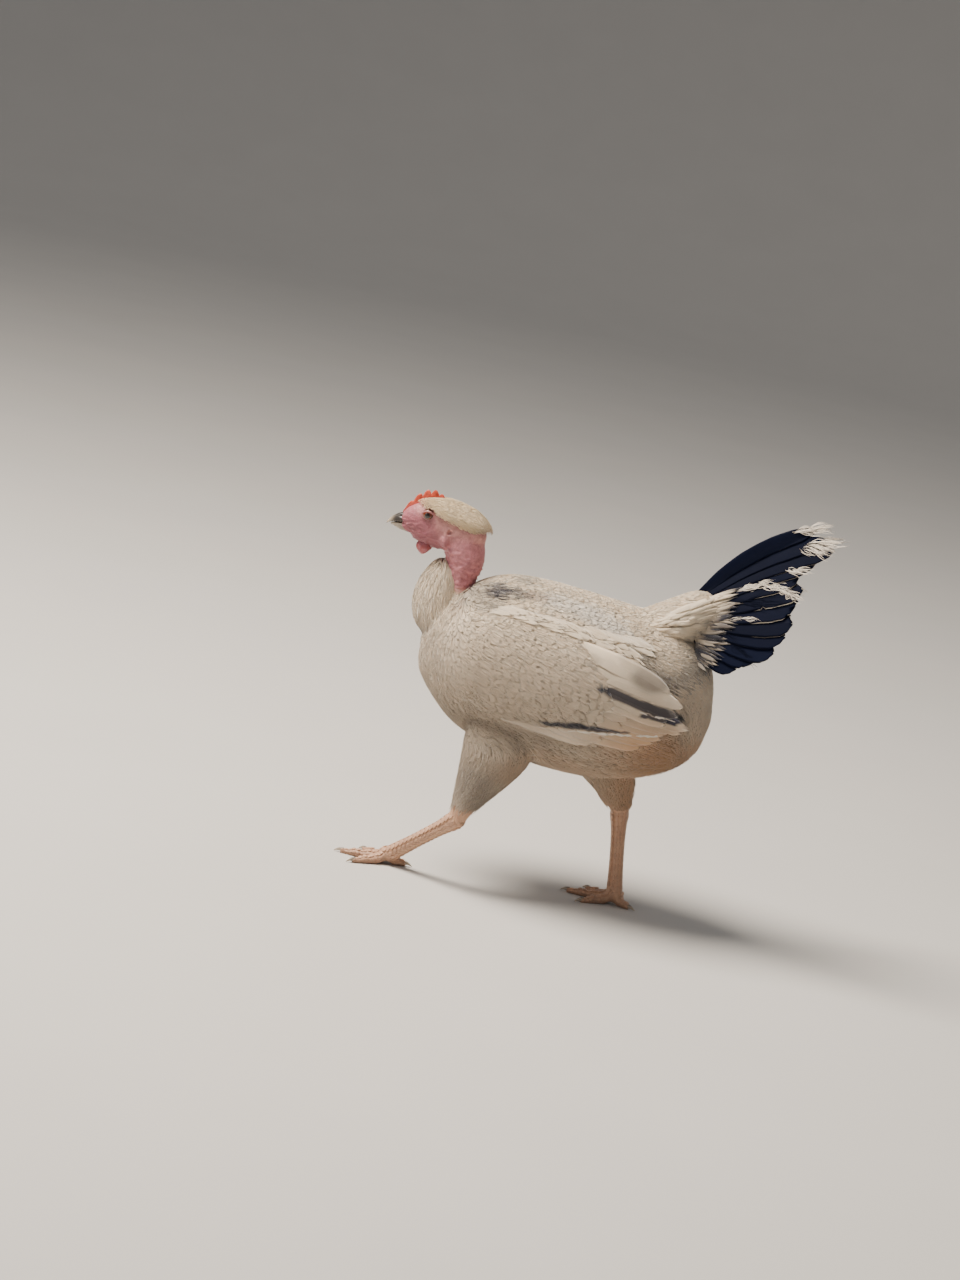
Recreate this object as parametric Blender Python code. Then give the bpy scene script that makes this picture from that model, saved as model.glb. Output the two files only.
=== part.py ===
"""A naked-neck pullet, life size and walking: the solids of a still museum model.

The bird faces -X and its left side faces -Y. The floor is z = 0, and the origin is on the floor under
the middle of the bird's length. Sizes are in millimetres, and become metres as points are made.
"""

import math

import bmesh
import bpy
import numpy as np
from mathutils import Vector

MM = 0.001
GAP = 0.3
# Faces that a cut has split, and that lie within this angle of one plane, are joined again.
FLATNESS = math.radians(0.1)
LEFT, RIGHT = -1, 1
SIDES = {"left": LEFT, "right": RIGHT}
UP = Vector((0, 0, 1))
ACROSS = Vector((0, 1, 0))
AHEAD = Vector((-1, 0, 0))

# Each form is a row of stations, and a smooth curve runs through them.
# Trunk: x, top, bottom, half width.
TORSO = (
    (-133, 187, 183, 3), (-130, 206, 168, 21), (-122, 221, 156, 33), (-108, 239, 142, 44),
    (-92, 252, 130, 52), (-70, 260.5, 121, 58), (-40, 262.5, 114, 61), (-5, 261, 111, 62),
    (30, 258.5, 112, 60), (60, 256, 118, 54), (84, 249, 129, 46), (100, 236, 141, 36),
    (111, 213, 156, 23), (116, 184, 176, 4),
)
TORSO_SIDES = 22
TORSO_SQUARENESS = 2.2
# Skull and face: x, top, bottom, half width.
HEAD = (
    (-171, 290, 284, 3), (-168, 295, 279, 7), (-162, 300, 275, 10), (-154, 304.5, 271, 12.6),
    (-145, 307.5, 268.5, 14), (-134, 308.5, 267.5, 14.6), (-122, 306.5, 267.5, 14.3),
    (-111, 302, 270, 13), (-103, 296, 275, 10), (-98, 288, 281, 4),
)
# Bare neck, from inside the head to inside the trunk: x, y, z, half depth, half width.
NECK = (
    (-122, 0, 290, 12, 11), (-115, 0, 277, 16.5, 14), (-111.5, 0, 263, 16, 13.4), (-113, 0, 248, 13.5, 12),
    (-111, 0, 232, 15, 14), (-100, 0, 214, 22, 20), (-88, 0, 200, 26, 26),
)
# Tuft on the front of the neck: z, middle x, half depth, half width.
BIB = (
    (263, -127, 2, 3), (259, -127, 9, 10), (250, -127.5, 15, 17), (237, -127.5, 20, 22), (224, -127, 22, 25),
    (212, -125.5, 21, 26), (203, -124, 17, 23), (197, -122, 10, 15), (195, -121, 3, 5),
)
# Feathers of the crown: x, top, bottom, half width, and the slanting line under which they stop.
CAP = (
    (-162, 303, 297, 3), (-158, 306, 290, 9), (-148, 309.5, 284, 14.5), (-135, 311.4, 280, 16.6),
    (-122, 310, 278, 16.4), (-110, 306.5, 278, 14.6), (-101, 301, 280, 11), (-96, 296, 284, 6),
    (-94, 292, 288, 2),
)
CAP_LINE_FRONT, CAP_LINE_BACK = (-162, 304.5), (-93, 285)
# Rump: x, middle z, half height, half width.
RUMP = (
    (44, 238, 22, 26), (62, 246.5, 25.5, 27), (78, 256, 26, 24), (90, 263, 23, 18), (101, 267, 16, 12),
    (109, 268, 9, 7), (114, 268, 3, 3),
)
# Flesh and lining of the folded wing: x, bottom, top, thickness over the trunk.
WING = (
    (-113, 195, 203, 1.5), (-107, 181, 214, 4), (-97, 169, 226, 7), (-80, 158, 237, 8.5), (-55, 150, 244, 8),
    (-28, 148, 244, 6.5), (0, 150, 236, 5), (22, 155, 222, 3.6), (38, 163, 205, 2.4), (46, 172, 190, 1.5),
)
WING_EDGE = 1.3
WING_SINK = 3.0
# Tiers of the wing, innermost first: name, count, roots and tips of the lowest and highest feather (x, z),
# how far out the roots and the tips lie, half width and bend. Upper feathers lie over lower ones.
WING_TIERS = (
    ("primary", 5, ((-4, 155), (14, 186)), ((66, 154), (103, 177)), (1.0, 3.2), 7.0, 3.0),
    ("secondary", 8, ((-60, 158), (-8, 228)), ((30, 149), (84, 205)), (1.6, 5.0), 9.5, 3.0),
    ("greater covert", 6, ((-78, 164), (-32, 232)), ((-22, 154), (28, 216)), (3.0, 7.4), 9.5, 2.0),
    ("median covert", 5, ((-92, 170), (-56, 234)), ((-52, 160), (-10, 229)), (4.5, 9.4), 9.5, 1.5),
)
WING_SHINGLE = 0.15
WING_LEVELLING_X, WING_LEVELLING_SLOPE = 62.0, 0.38

# A feather's outline: share of its length, share of its full half width.
LONG_VANE = ((0.0, 0.4), (0.35, 0.9), (0.8, 0.94), (1.0, 0.2))
SHORT_VANE = ((0.0, 0.62), (0.5, 1.0), (0.84, 0.76), (1.0, 0.16))
VANE_THICKNESS = 0.8
VANE_TIP_THICKNESS = 0.45
# Share of a feather over which it climbs out of the form that it grows from.
ROOT_SHARE = 0.35

# Tail feathers of one side, top first: root and tip (x, z), half width, bend.
TAIL_FEATHERS = (
    ((84, 281), (167, 357), 8.0, 7.0), ((86, 277), (186, 349), 11.0, 7.0),
    ((89, 272), (161, 320), 12.5, 5.0), ((91, 267), (166, 299), 14.0, 2.0),
    ((92, 262), (165, 277), 15.0, 0.0), ((92, 257), (154, 253), 15.0, -2.0),
    ((90, 252), (130, 234), 13.5, -3.0),
)
TAIL_UNEVEN = 3.0
TAIL_RIDGE_HALF_GAP = 1.9
TAIL_TENT = 0.42
TAIL_SHINGLE = 0.13
TAIL_THICKNESS = 1.0
TAIL_COVERT_LIFT = 2.4
RUMP_END_X = 92.0
# White feathers over the tail's root: root, tip, half width, bend.
TAIL_COVERTS = (
    ((58, 265), (106, 291), 9.5, 3.0), ((60, 256), (115, 272), 10.0, 1.0),
    ((59, 244), (109, 252), 10.0, -1.0),
)

# Tuft feathers, row by row: height of the roots, how many, length, reach to each side in degrees.
BIB_ROWS = ((258, 4, 22, 90), (243, 5, 24, 108), (226, 6, 23, 112))
BIB_HALF_WIDTH, BIB_LIFT = 6.6, 2.8
# Feathers over the nape: where they start, how many, length, reach to each side in degrees.
CAP_ROWS = ((-120, 4, 25, 66),)
CAP_HALF_WIDTH, CAP_LIFT = 5.0, 1.7
CAP_DROOP, CAP_NAPE_X = 5.0, -104.0
CAP_CUTTER_REACH = 60.0
# Shares of a feather at which it comes out of the tuft and the crown.
BIB_EMERGES, CAP_EMERGES = 0.25, 0.3
BIB_UNEVEN = 0.12

EYE_CENTRE = Vector((-147.5, 11.2, 295.5))
EYE_RADIUS = 5.2
BROW_RADIUS = 6.6
LID_RING, LID_THICKNESS, LID_OUTWARDS, LID_TALLNESS = 4.3, 0.95, 2.6, 0.86
EAR_CENTRE = Vector((-126.5, 14.2, 285.5))
EAR_RING, EAR_RIM, EAR_SINK, EAR_HOLE, EAR_DEPTH = 2.6, 0.8, 0.4, 1.9, 4.0
EARLOBE_CENTRE = Vector((-129.5, 13.6, 277.5))
EARLOBE_SIZE = Vector((4.2, 2.6, 5.2))
WATTLE_TOP = Vector((-148, 5.4, 273))
WATTLE_DROP, WATTLE_HALF_DEPTH, WATTLE_HALF_WIDTH = 11.5, 6.0, 2.1

# Bill: x, top, bottom, half width.
BILL_UPPER = (
    (-160, 292.5, 284, 6.6), (-166, 292.3, 283.3, 6.2), (-172, 290.6, 282.6, 5.0), (-177, 287.6, 281.8, 3.7),
    (-180.5, 284.2, 280.6, 2.3), (-182.6, 280.8, 278.9, 0.9),
)
BILL_LOWER = (
    (-160, 284.0, 275.5, 5.4), (-166, 283.6, 275.9, 5.1), (-172, 282.9, 276.9, 4.1),
    (-176, 282.1, 278.3, 2.8), (-179, 280.7, 279.3, 1.2),
)
# Share of a bill's height at which it is widest, so that the two close along flat edges.
BILL_UPPER_WAIST, BILL_LOWER_WAIST = 0.22, 0.8
BILL_SQUARENESS = 2.3
NOSTRIL_CENTRE = Vector((-170.5, 5.2, 288.2))
NOSTRIL_SIZE = Vector((2.1, 1.6, 0.8))

COMB_FRONT, COMB_BACK = -171.0, -137.0
COMB_BASE_FRONT, COMB_BASE_BACK = 291.0, 307.0
COMB_ARCH = 3.0
COMB_HEIGHT, COMB_POINTS, COMB_NOTCH = 12.0, 5, 0.36
COMB_FOOT, COMB_TOP = 2.1, 0.7
COMB_SINK = 5.0

# Feathered shank muscles: x, distance from the middle plane, z, half depth, half width.
THIGHS = {
    "left": (
        (-40, 28, 162, 31, 18), (-44, 33, 141, 31.5, 21), (-48, 38, 121, 28.5, 21.5),
        (-53.5, 42, 102, 22, 18.5), (-59.5, 44.5, 84, 15, 13.5), (-64, 46.5, 69, 10, 9.5),
        (-66.5, 47, 60.5, 7.6, 7.4),
    ),
    "right": (
        (12, 28, 156, 32, 18), (22, 33, 136, 29, 20), (36, 36.5, 116, 23, 18), (46, 37.5, 102, 18, 15),
        (51, 38.5, 91, 14.5, 12.5), (55, 39, 82.5, 10.2, 9.8), (56.5, 39, 78, 8, 7.8),
    ),
}
HOCK = {"left": Vector((-67, 47, 58)), "right": Vector((57, 39, 76))}
FOOT = {"left": Vector((-120, 24, 8)), "right": Vector((69, 25, 8))}
# Bare shank: share of the way from hock to foot, half depth, half width.
SHANK = (
    (-0.06, 7.2, 7.0), (0.04, 7.9, 6.8), (0.14, 7.0, 5.7), (0.3, 6.2, 5.1), (0.6, 6.0, 4.9),
    (0.84, 6.4, 5.5), (0.96, 6.5, 6.4), (1.04, 5.2, 5.6), (1.09, 2.4, 2.8),
)
SHANK_SCUTES, SHANK_SCUTE_RISE = 10, 0.7
SCUTE_LIP, SCUTE_START, SCUTE_END = 0.12, 0.08, 0.92

# Toes: name, heading from straight ahead (outwards is positive), length without its claw.
TOES = (("middle", 2, 39), ("inner", -37, 30), ("outer", 40, 32), ("hind", 200, 14))
TOE_ROOT, TOE_TIP, TOE_PADS, TOE_PAD_SWELL = 4.9, 2.3, 3, 0.35
TOE_SCUTE_LENGTH, TOE_SCUTE_RISE = 8.5, 0.5
TOE_START, TOE_ARCH, TOE_ARCH_SHARE = 2.0, 5.4, 0.3
TOE_PRESS = 0.6
TOE_GAP = 0.5
CLAW_LENGTH, CLAW_RADIUS, CLAW_POINT, CLAW_NARROWNESS = 8.0, 1.9, 0.25, 0.8
CLAW_SINK, CLAW_BASE_HEIGHT, CLAW_FALL = 2.5, 2.6, 1.9

FEATHER_WHITE = (0.78, 0.70, 0.58)
BARE_RED = (0.62, 0.20, 0.19)
COMB_RED = (0.70, 0.13, 0.10)
HORN = (0.55, 0.47, 0.38)
LEG_TAN = (0.60, 0.38, 0.24)
TAIL_BLACK = (0.015, 0.02, 0.035)
EYE_BROWN = (0.13, 0.05, 0.02)


def clear_scene():
    for old in list(bpy.data.objects):
        bpy.data.objects.remove(old, do_unlink=True)


def finish_of(name, colour, roughness):
    """A Principled material, made once for each name."""
    found = bpy.data.materials.get(name)
    if found:
        return found
    made = bpy.data.materials.new(name)
    made.use_nodes = True
    shader = made.node_tree.nodes["Principled BSDF"]
    shader.inputs["Base Color"].default_value = (*colour, 1)
    shader.inputs["Roughness"].default_value = roughness
    shader.inputs["Metallic"].default_value = 0.0
    return made


def through(stations, steps):
    """Points on the smooth curve through the stations, with this many steps between each two."""
    points = np.array(stations, float)
    padded = np.vstack([2 * points[0] - points[1], points, 2 * points[-1] - points[-2]])
    found = []
    for i in range(1, len(padded) - 2):
        a, b, c, d = padded[i - 1:i + 3]
        for k in range(steps):
            t = k / steps
            bend = (-a + c) * t + (2 * a - 5 * b + 4 * c - d) * t**2 + (-a + 3 * b - 3 * c + d) * t**3
            found.append(b + 0.5 * bend)
    found.append(points[-1])
    return np.array(found)


def new_object(name, points, faces, finish):
    """A mesh object from points in millimetres, its faces turned outwards."""
    mesh = bpy.data.meshes.new(name)
    mesh.from_pydata([Vector(p) * MM for p in points], [], faces)
    mesh.materials.append(finish)
    work = bmesh.new()
    work.from_mesh(mesh)
    bmesh.ops.recalc_face_normals(work, faces=work.faces)
    work.to_mesh(mesh)
    work.free()
    mesh.shade_smooth()
    made = bpy.data.objects.new(name, mesh)
    bpy.context.scene.collection.objects.link(made)
    return made


def oval(centre, across, up, half_across, half_up, sides, squareness=2.0):
    """A ring of points on an oval, squarer as squareness grows past 2."""
    ring = []
    for k in range(sides):
        angle = 2 * math.pi * (k + 0.5) / sides
        c, s = math.cos(angle), math.sin(angle)
        c = math.copysign(abs(c) ** (2 / squareness), c)
        s = math.copysign(abs(s) ** (2 / squareness), s)
        ring.append(centre + across * (half_across * c) + up * (half_up * s))
    return ring


def loft(name, rings, finish):
    """A closed skin over the rings, with a point in the middle of each end."""
    sides = len(rings[0])
    points = [p for ring in rings for p in ring]
    faces = []
    for i in range(len(rings) - 1):
        for k in range(sides):
            n = (k + 1) % sides
            faces.append((i * sides + k, i * sides + n, (i + 1) * sides + n, (i + 1) * sides + k))
    for ring, start in ((rings[0], 0), (rings[-1], (len(rings) - 1) * sides)):
        points.append(sum(ring, Vector()) / sides)
        tip = len(points) - 1
        faces.extend((start + k, start + (k + 1) % sides, tip) for k in range(sides))
    return new_object(name, points, faces, finish)


def slab(name, rings, finish):
    """A thin closed form through rings of four corners, split alike on its two faces."""
    points = [p for ring in rings for p in ring]
    faces = []
    for i in range(len(rings) - 1):
        a, b = i * 4, i * 4 + 4
        faces += [(a, b, b + 1), (a, b + 1, a + 1), (a + 3, b + 2, b + 3), (a + 3, a + 2, b + 2)]
        faces += [(a + 1, b + 1, b + 2), (a + 1, b + 2, a + 2), (a, a + 3, b + 3), (a, b + 3, b)]
    last = len(points) - 4
    faces += [(0, 1, 2), (0, 2, 3), (last, last + 2, last + 1), (last, last + 3, last + 2)]
    return new_object(name, points, faces, finish)


def vane(place, outline, half_width, finish, thickness=VANE_THICKNESS):
    """A feather. Place turns its share of the length, distance across and height into a point."""
    rings = []
    for share, width in outline:
        half = half_width * width
        thick = (thickness + (VANE_TIP_THICKNESS - thickness) * share) / 2
        corners = ((-half, thick), (half, thick), (half, -thick), (-half, -thick))
        rings.append([place(share, across, height) for across, height in corners])
    return slab("vane", rings, finish)


def between(first, last, share):
    return tuple(a + (b - a) * share for a, b in zip(first, last))


def on_flank(side, root, tip, bend, rise, slope, flank):
    """Where a feather lies that runs from root to tip (x, z) over a flank, rising from its root."""
    length = math.hypot(tip[0] - root[0], tip[1] - root[1])
    along = ((tip[0] - root[0]) / length, (tip[1] - root[1]) / length)

    def place(share, across, height):
        bow = bend * math.sin(math.pi * share) + across
        x = root[0] + (tip[0] - root[0]) * share - along[1] * bow
        z = root[1] + (tip[1] - root[1]) * share + along[0] * bow
        lift = rise[0] + (rise[1] - rise[0]) * min(1.0, share / ROOT_SHARE)
        return Vector((x, side * (flank(x, z) + lift - slope * across + height), z))

    return place


def body_loft(name, stations, steps, sides, finish, squareness=2.0, waist=0.5):
    """A loft along X through stations of x, top, bottom and half width, widest at its waist."""
    rings = []
    for x, top, bottom, half in through(stations, steps):
        middle = bottom + (top - bottom) * waist
        ring = oval(Vector((x, 0, middle)), ACROSS, UP, half, 1.0, sides, squareness)
        for point in ring:
            rise = point.z - middle
            point.z = middle + rise * (top - middle if rise > 0 else middle - bottom)
        rings.append(ring)
    return loft(name, rings, finish)


def limb(name, stations, steps, sides, finish, side=RIGHT):
    """A loft along a bent line through stations of x, y, z, half depth and half width."""
    rows = through(stations, steps)
    places = [Vector((row[0], side * row[1], row[2])) for row in rows]
    rings = []
    for i, row in enumerate(rows):
        along = (places[min(i + 1, len(rows) - 1)] - places[max(i - 1, 0)]).normalized()
        across = (ACROSS - along * ACROSS.dot(along)).normalized()
        rings.append(oval(places[i], across, across.cross(along), row[4], row[3], sides))
    return loft(name, rings, finish)


def ball(name, centre, size, finish, segments, rows):
    """An ellipsoid whose poles lie along Y."""
    work = bmesh.new()
    bmesh.ops.create_uvsphere(work, u_segments=segments, v_segments=rows, radius=1)
    points = [Vector((v.co.x * size.x, v.co.z * size.y, v.co.y * size.z)) + centre for v in work.verts]
    faces = [[v.index for v in f.verts] for f in work.faces]
    work.free()
    return new_object(name, points, faces, finish)


def ring_tube(name, centre, facing, radius, thickness, finish, segments, sides, tallness=1.0):
    """A ring round the direction that it faces."""
    across = facing.cross(UP).normalized()
    up = across.cross(facing).normalized()
    points, faces = [], []
    for i in range(segments):
        angle = 2 * math.pi * i / segments
        out = across * math.cos(angle) + up * (math.sin(angle) * tallness)
        middle = centre + out * radius
        for k in range(sides):
            turn = 2 * math.pi * k / sides
            points.append(middle + (out * math.cos(turn) + facing * math.sin(turn)) * thickness)
    for i in range(segments):
        j = (i + 1) % segments
        for k in range(sides):
            n = (k + 1) % sides
            faces.append((i * sides + k, i * sides + n, j * sides + n, j * sides + k))
    return new_object(name, points, faces, finish)


def bake(made):
    """Applies the modifiers of an object."""
    graph = bpy.context.evaluated_depsgraph_get()
    mesh = bpy.data.meshes.new_from_object(made.evaluated_get(graph))
    made.modifiers.clear()
    made.data = mesh


def keep_largest(made):
    """Keeps the largest closed surface of a mesh, so that no loose scrap or sealed hollow is left."""
    work = bmesh.new()
    work.from_mesh(made.data)
    left, groups = set(work.faces), []
    while left:
        seed = left.pop()
        group, front = [seed], [seed]
        while front:
            for edge in front.pop().edges:
                for face in edge.link_faces:
                    if face in left:
                        left.discard(face)
                        group.append(face)
                        front.append(face)
        groups.append(group)
    groups.sort(key=lambda g: -sum(face.calc_area() for face in g))
    scraps = [face for group in groups[1:] for face in group]
    bmesh.ops.delete(work, geom=scraps, context="FACES")
    work.to_mesh(made.data)
    work.free()


def combine(made, operation, pieces):
    """One Boolean of an object with a collection of pieces, which are then removed."""
    holder = bpy.data.collections.new("pieces")
    bpy.context.scene.collection.children.link(holder)
    for piece in pieces:
        holder.objects.link(piece)
        bpy.context.scene.collection.objects.unlink(piece)
    step = made.modifiers.new(operation.lower(), "BOOLEAN")
    step.operation = operation
    step.operand_type = "COLLECTION"
    step.collection = holder
    step.solver = "EXACT"
    bpy.context.view_layer.update()
    bake(made)
    for piece in pieces:
        bpy.data.objects.remove(piece, do_unlink=True)
    bpy.data.collections.remove(holder)
    keep_largest(made)


def grown(form, by=GAP):
    """A copy of a form, every face moved outwards."""
    copy = form.copy()
    copy.data = form.data.copy()
    bpy.context.scene.collection.objects.link(copy)
    shift = [v.normal.copy() for v in copy.data.vertices]
    for vert, normal in zip(copy.data.vertices, shift):
        vert.co += normal * (by * MM)
    return copy


def set_clear(made, *forms):
    """Cuts an object back from the forms that it meets, so that it lies on them with a thin gap."""
    combine(made, "DIFFERENCE", [grown(form) for form in forms])


def join_flat(made):
    """Joins the flat faces that cuts and unions have split."""
    work = bmesh.new()
    work.from_mesh(made.data)
    bmesh.ops.dissolve_limit(work, angle_limit=FLATNESS, verts=work.verts, edges=work.edges)
    work.to_mesh(made.data)
    work.free()


def mirrored(point, side):
    return Vector((point.x, point.y * side, point.z))


TORSO_ROWS = through(TORSO, 4)


def torso_side(x, z):
    """The trunk's half width at this length and height."""
    top, bottom, half = (np.interp(x, TORSO_ROWS[:, 0], TORSO_ROWS[:, k]) for k in (1, 2, 3))
    height = abs(z - (top + bottom) / 2) / max((top - bottom) / 2, 1.0)
    return half * max(0.0, 1 - min(height, 1) ** TORSO_SQUARENESS) ** (1 / TORSO_SQUARENESS)


def wing_side(x, z):
    """The surface that the wing lies on: the trunk, and behind it a straighter line to the wing's tip."""
    straight = torso_side(WING_LEVELLING_X, z) - (x - WING_LEVELLING_X) * WING_LEVELLING_SLOPE
    return max(torso_side(x, z), straight) if x > WING_LEVELLING_X else torso_side(x, z)


def make_torso(plumage):
    return body_loft("torso", TORSO, 2, TORSO_SIDES, plumage, TORSO_SQUARENESS)


def make_head(skin):
    """The head with lids, ear rims and sockets. Returns it and its plain core."""
    core = body_loft("head_core", HEAD, 2, 20, skin, 2.15)
    core.hide_render = True
    core.display_type = "WIRE"
    head = core.copy()
    head.data = core.data.copy()
    head.name = "head"
    head.hide_render = False
    bpy.context.scene.collection.objects.link(head)
    added, holes = [], []
    for name, side in SIDES.items():
        facing = ACROSS * side
        eye = mirrored(EYE_CENTRE, side)
        lid_place = mirrored(EYE_CENTRE + ACROSS * LID_OUTWARDS, side)
        added.append(ring_tube("lid", lid_place, facing, LID_RING, LID_THICKNESS, skin, 14, 6, LID_TALLNESS))
        ear = mirrored(EAR_CENTRE, side)
        added.append(ring_tube("rim", ear - facing * EAR_SINK, facing, EAR_RING, EAR_RIM, skin, 10, 6))
        holes.append(ball("socket", eye, Vector((1, 1, 1)) * (EYE_RADIUS + GAP), skin, 12, 8))
        holes.append(ball("canal", ear, Vector((EAR_HOLE, EAR_DEPTH, EAR_HOLE)), skin, 8, 6))
    combine(head, "UNION", added)
    combine(head, "DIFFERENCE", holes)
    return head, core


def make_eye(name, side, iris):
    return ball(f"eye_{name}", mirrored(EYE_CENTRE, side), Vector((1, 1, 1)) * EYE_RADIUS, iris, 12, 8)


def make_bill(core, horn):
    """Upper and lower bill, which close along the line of the mouth."""
    upper = body_loft("bill_upper", BILL_UPPER, 2, 12, horn, BILL_SQUARENESS, BILL_UPPER_WAIST)
    lower = body_loft("bill_lower", BILL_LOWER, 2, 12, horn, BILL_SQUARENESS, BILL_LOWER_WAIST)
    nostrils = [
        ball("nostril", mirrored(NOSTRIL_CENTRE, side), NOSTRIL_SIZE, horn, 8, 6) for side in SIDES.values()
    ]
    combine(upper, "DIFFERENCE", nostrils)
    set_clear(upper, core)
    set_clear(lower, core, upper)
    return upper, lower


def comb_height(share):
    """The comb's height at a share of its length, with its points."""
    swell = math.sin(math.pi * min(max(share, 0.02), 0.98)) ** 0.55
    wave = abs(math.sin(math.pi * COMB_POINTS * share))
    return COMB_HEIGHT * swell * (1 - COMB_NOTCH + COMB_NOTCH * wave)


def make_comb(core, bills, flesh):
    """A low single comb, from the bill over the brow."""
    steps = COMB_POINTS * 4
    rings = []
    for i in range(steps + 1):
        share = i / steps
        x = COMB_FRONT + (COMB_BACK - COMB_FRONT) * share
        base = COMB_BASE_FRONT + (COMB_BASE_BACK - COMB_BASE_FRONT) * share
        base += COMB_ARCH * math.sin(math.pi * share)
        top = base + comb_height(share)
        low = base - COMB_SINK
        rings.append([
            Vector((x, -COMB_FOOT, low)), Vector((x, COMB_FOOT, low)), Vector((x, COMB_FOOT, base)),
            Vector((x, COMB_TOP, top)), Vector((x, -COMB_TOP, top)), Vector((x, -COMB_FOOT, base)),
        ])
    comb = loft("comb", rings, flesh)
    set_clear(comb, core, *bills)
    return comb


def make_wattle(name, side, core, bills, flesh):
    top = mirrored(WATTLE_TOP, side)
    rings = []
    for i in range(9):
        share = i / 8
        swell = math.sin(math.pi * (0.12 + 0.86 * share)) ** 0.7
        centre = top + Vector((0.8 * share, side * 0.8 * share, -WATTLE_DROP * share))
        rings.append(oval(centre, ACROSS, AHEAD, WATTLE_HALF_WIDTH * swell, WATTLE_HALF_DEPTH * swell, 10))
    wattle = loft(f"wattle_{name}", rings, flesh)
    set_clear(wattle, core, *bills)
    return wattle


def make_earlobe(name, side, head, flesh):
    lobe = ball(f"earlobe_{name}", mirrored(EARLOBE_CENTRE, side), EARLOBE_SIZE, flesh, 14, 8)
    set_clear(lobe, head)
    return lobe


def make_neck(head_core, torso, skin):
    neck = limb("neck", NECK, 2, 16, skin)
    set_clear(neck, head_core, torso)
    return neck


def cap_place(angle, start, length):
    """Where a feather lies that runs back over the crown, from its start, this far round from the top."""
    rows = through(CAP, 4)

    def place(share, across, height):
        x = start + length * share
        top, half = (np.interp(min(x, CAP_NAPE_X), rows[:, 0], rows[:, k]) for k in (1, 3))
        middle = top - half
        turn = math.radians(angle) + across / half
        lift = CAP_LIFT * (share - CAP_EMERGES) + height
        out = Vector((0, math.sin(turn), math.cos(turn)))
        return Vector((x, 0, middle - CAP_DROOP * share**2)) + out * (half + lift)

    return place


def make_cap(head_core, comb, neck, plumage):
    """The feathered crown, from the brow to the nape."""
    cap = body_loft("crown_cap", CAP, 1, 18, plumage, 2.1)
    front = Vector((CAP_LINE_FRONT[0], 0, CAP_LINE_FRONT[1]))
    back = Vector((CAP_LINE_BACK[0], 0, CAP_LINE_BACK[1]))
    slope = (back - front).normalized()
    under = ACROSS.cross(slope)
    under = under if under.z < 0 else -under
    rings = []
    reach = CAP_CUTTER_REACH
    for place in (front - slope * reach, back + slope * reach):
        corners = ((-reach, 0), (reach, 0), (reach, reach), (-reach, reach))
        rings.append([place + ACROSS * a + under * b for a, b in corners])
    cutters = [loft("below_cap", rings, plumage)]
    for side in SIDES.values():
        brow = mirrored(EYE_CENTRE, side)
        cutters.append(ball("brow", brow, Vector((1, 1, 1)) * BROW_RADIUS, plumage, 12, 8))
    combine(cap, "DIFFERENCE", cutters)
    vanes = []
    for start, count, length, spread in CAP_ROWS:
        for k in range(count):
            angle = spread * (2 * k / (count - 1) - 1)
            vanes.append(vane(cap_place(angle, start, length), SHORT_VANE, CAP_HALF_WIDTH, plumage))
    combine(cap, "UNION", vanes)
    set_clear(cap, head_core, comb, neck)
    join_flat(cap)
    return cap


def bib_place(angle, top, length):
    """Where a feather lies that hangs over the tuft, from its top, this far round from the front."""
    rows = through(BIB, 4)[::-1]

    def place(share, across, height):
        z = top - length * share
        middle, depth, half = (np.interp(z, rows[:, 0], rows[:, k]) for k in (1, 2, 3))
        turn = math.radians(angle) + across / max(half, BIB_HALF_WIDTH)
        out = Vector((-math.cos(turn) * half, math.sin(turn) * depth, 0)).normalized()
        lift = BIB_LIFT * (share - BIB_EMERGES) + height
        return Vector((middle - depth * math.cos(turn), half * math.sin(turn), z)) + out * lift

    return place


def make_bib(neck, torso, head_core, plumage):
    """The tuft on the front of the neck: a core and rows of hanging feathers."""
    rings = []
    for z, x, depth, half in through(BIB, 1):
        rings.append(oval(Vector((x, 0, z)), ACROSS, AHEAD, half, depth, 18))
    bib = loft("bib", rings, plumage)
    vanes = []
    for row, (top, count, length, reach) in enumerate(BIB_ROWS):
        for k in range(count):
            angle = reach * (2 * k / (count - 1) - 1)
            droop = 1.0 + BIB_UNEVEN * math.sin(2.3 * k + row)
            vanes.append(vane(bib_place(angle, top, length * droop), SHORT_VANE, BIB_HALF_WIDTH, plumage))
    combine(bib, "UNION", vanes)
    set_clear(bib, neck, torso, head_core)
    join_flat(bib)
    return bib


def tail_tent(depth):
    """How far out a half of the tail lies, this far below its ridge."""
    return TAIL_RIDGE_HALF_GAP + max(depth, 0) * TAIL_TENT


def tail_flank(x, z):
    """One half of the tail, which leans outwards below the ridge."""
    root, tip = TAIL_FEATHERS[0][:2]
    run, climb = tip[0] - root[0], tip[1] - root[1]
    depth = ((x - root[0]) * climb - (z - root[1]) * run) / math.hypot(run, climb)
    return tail_tent(depth)


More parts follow.
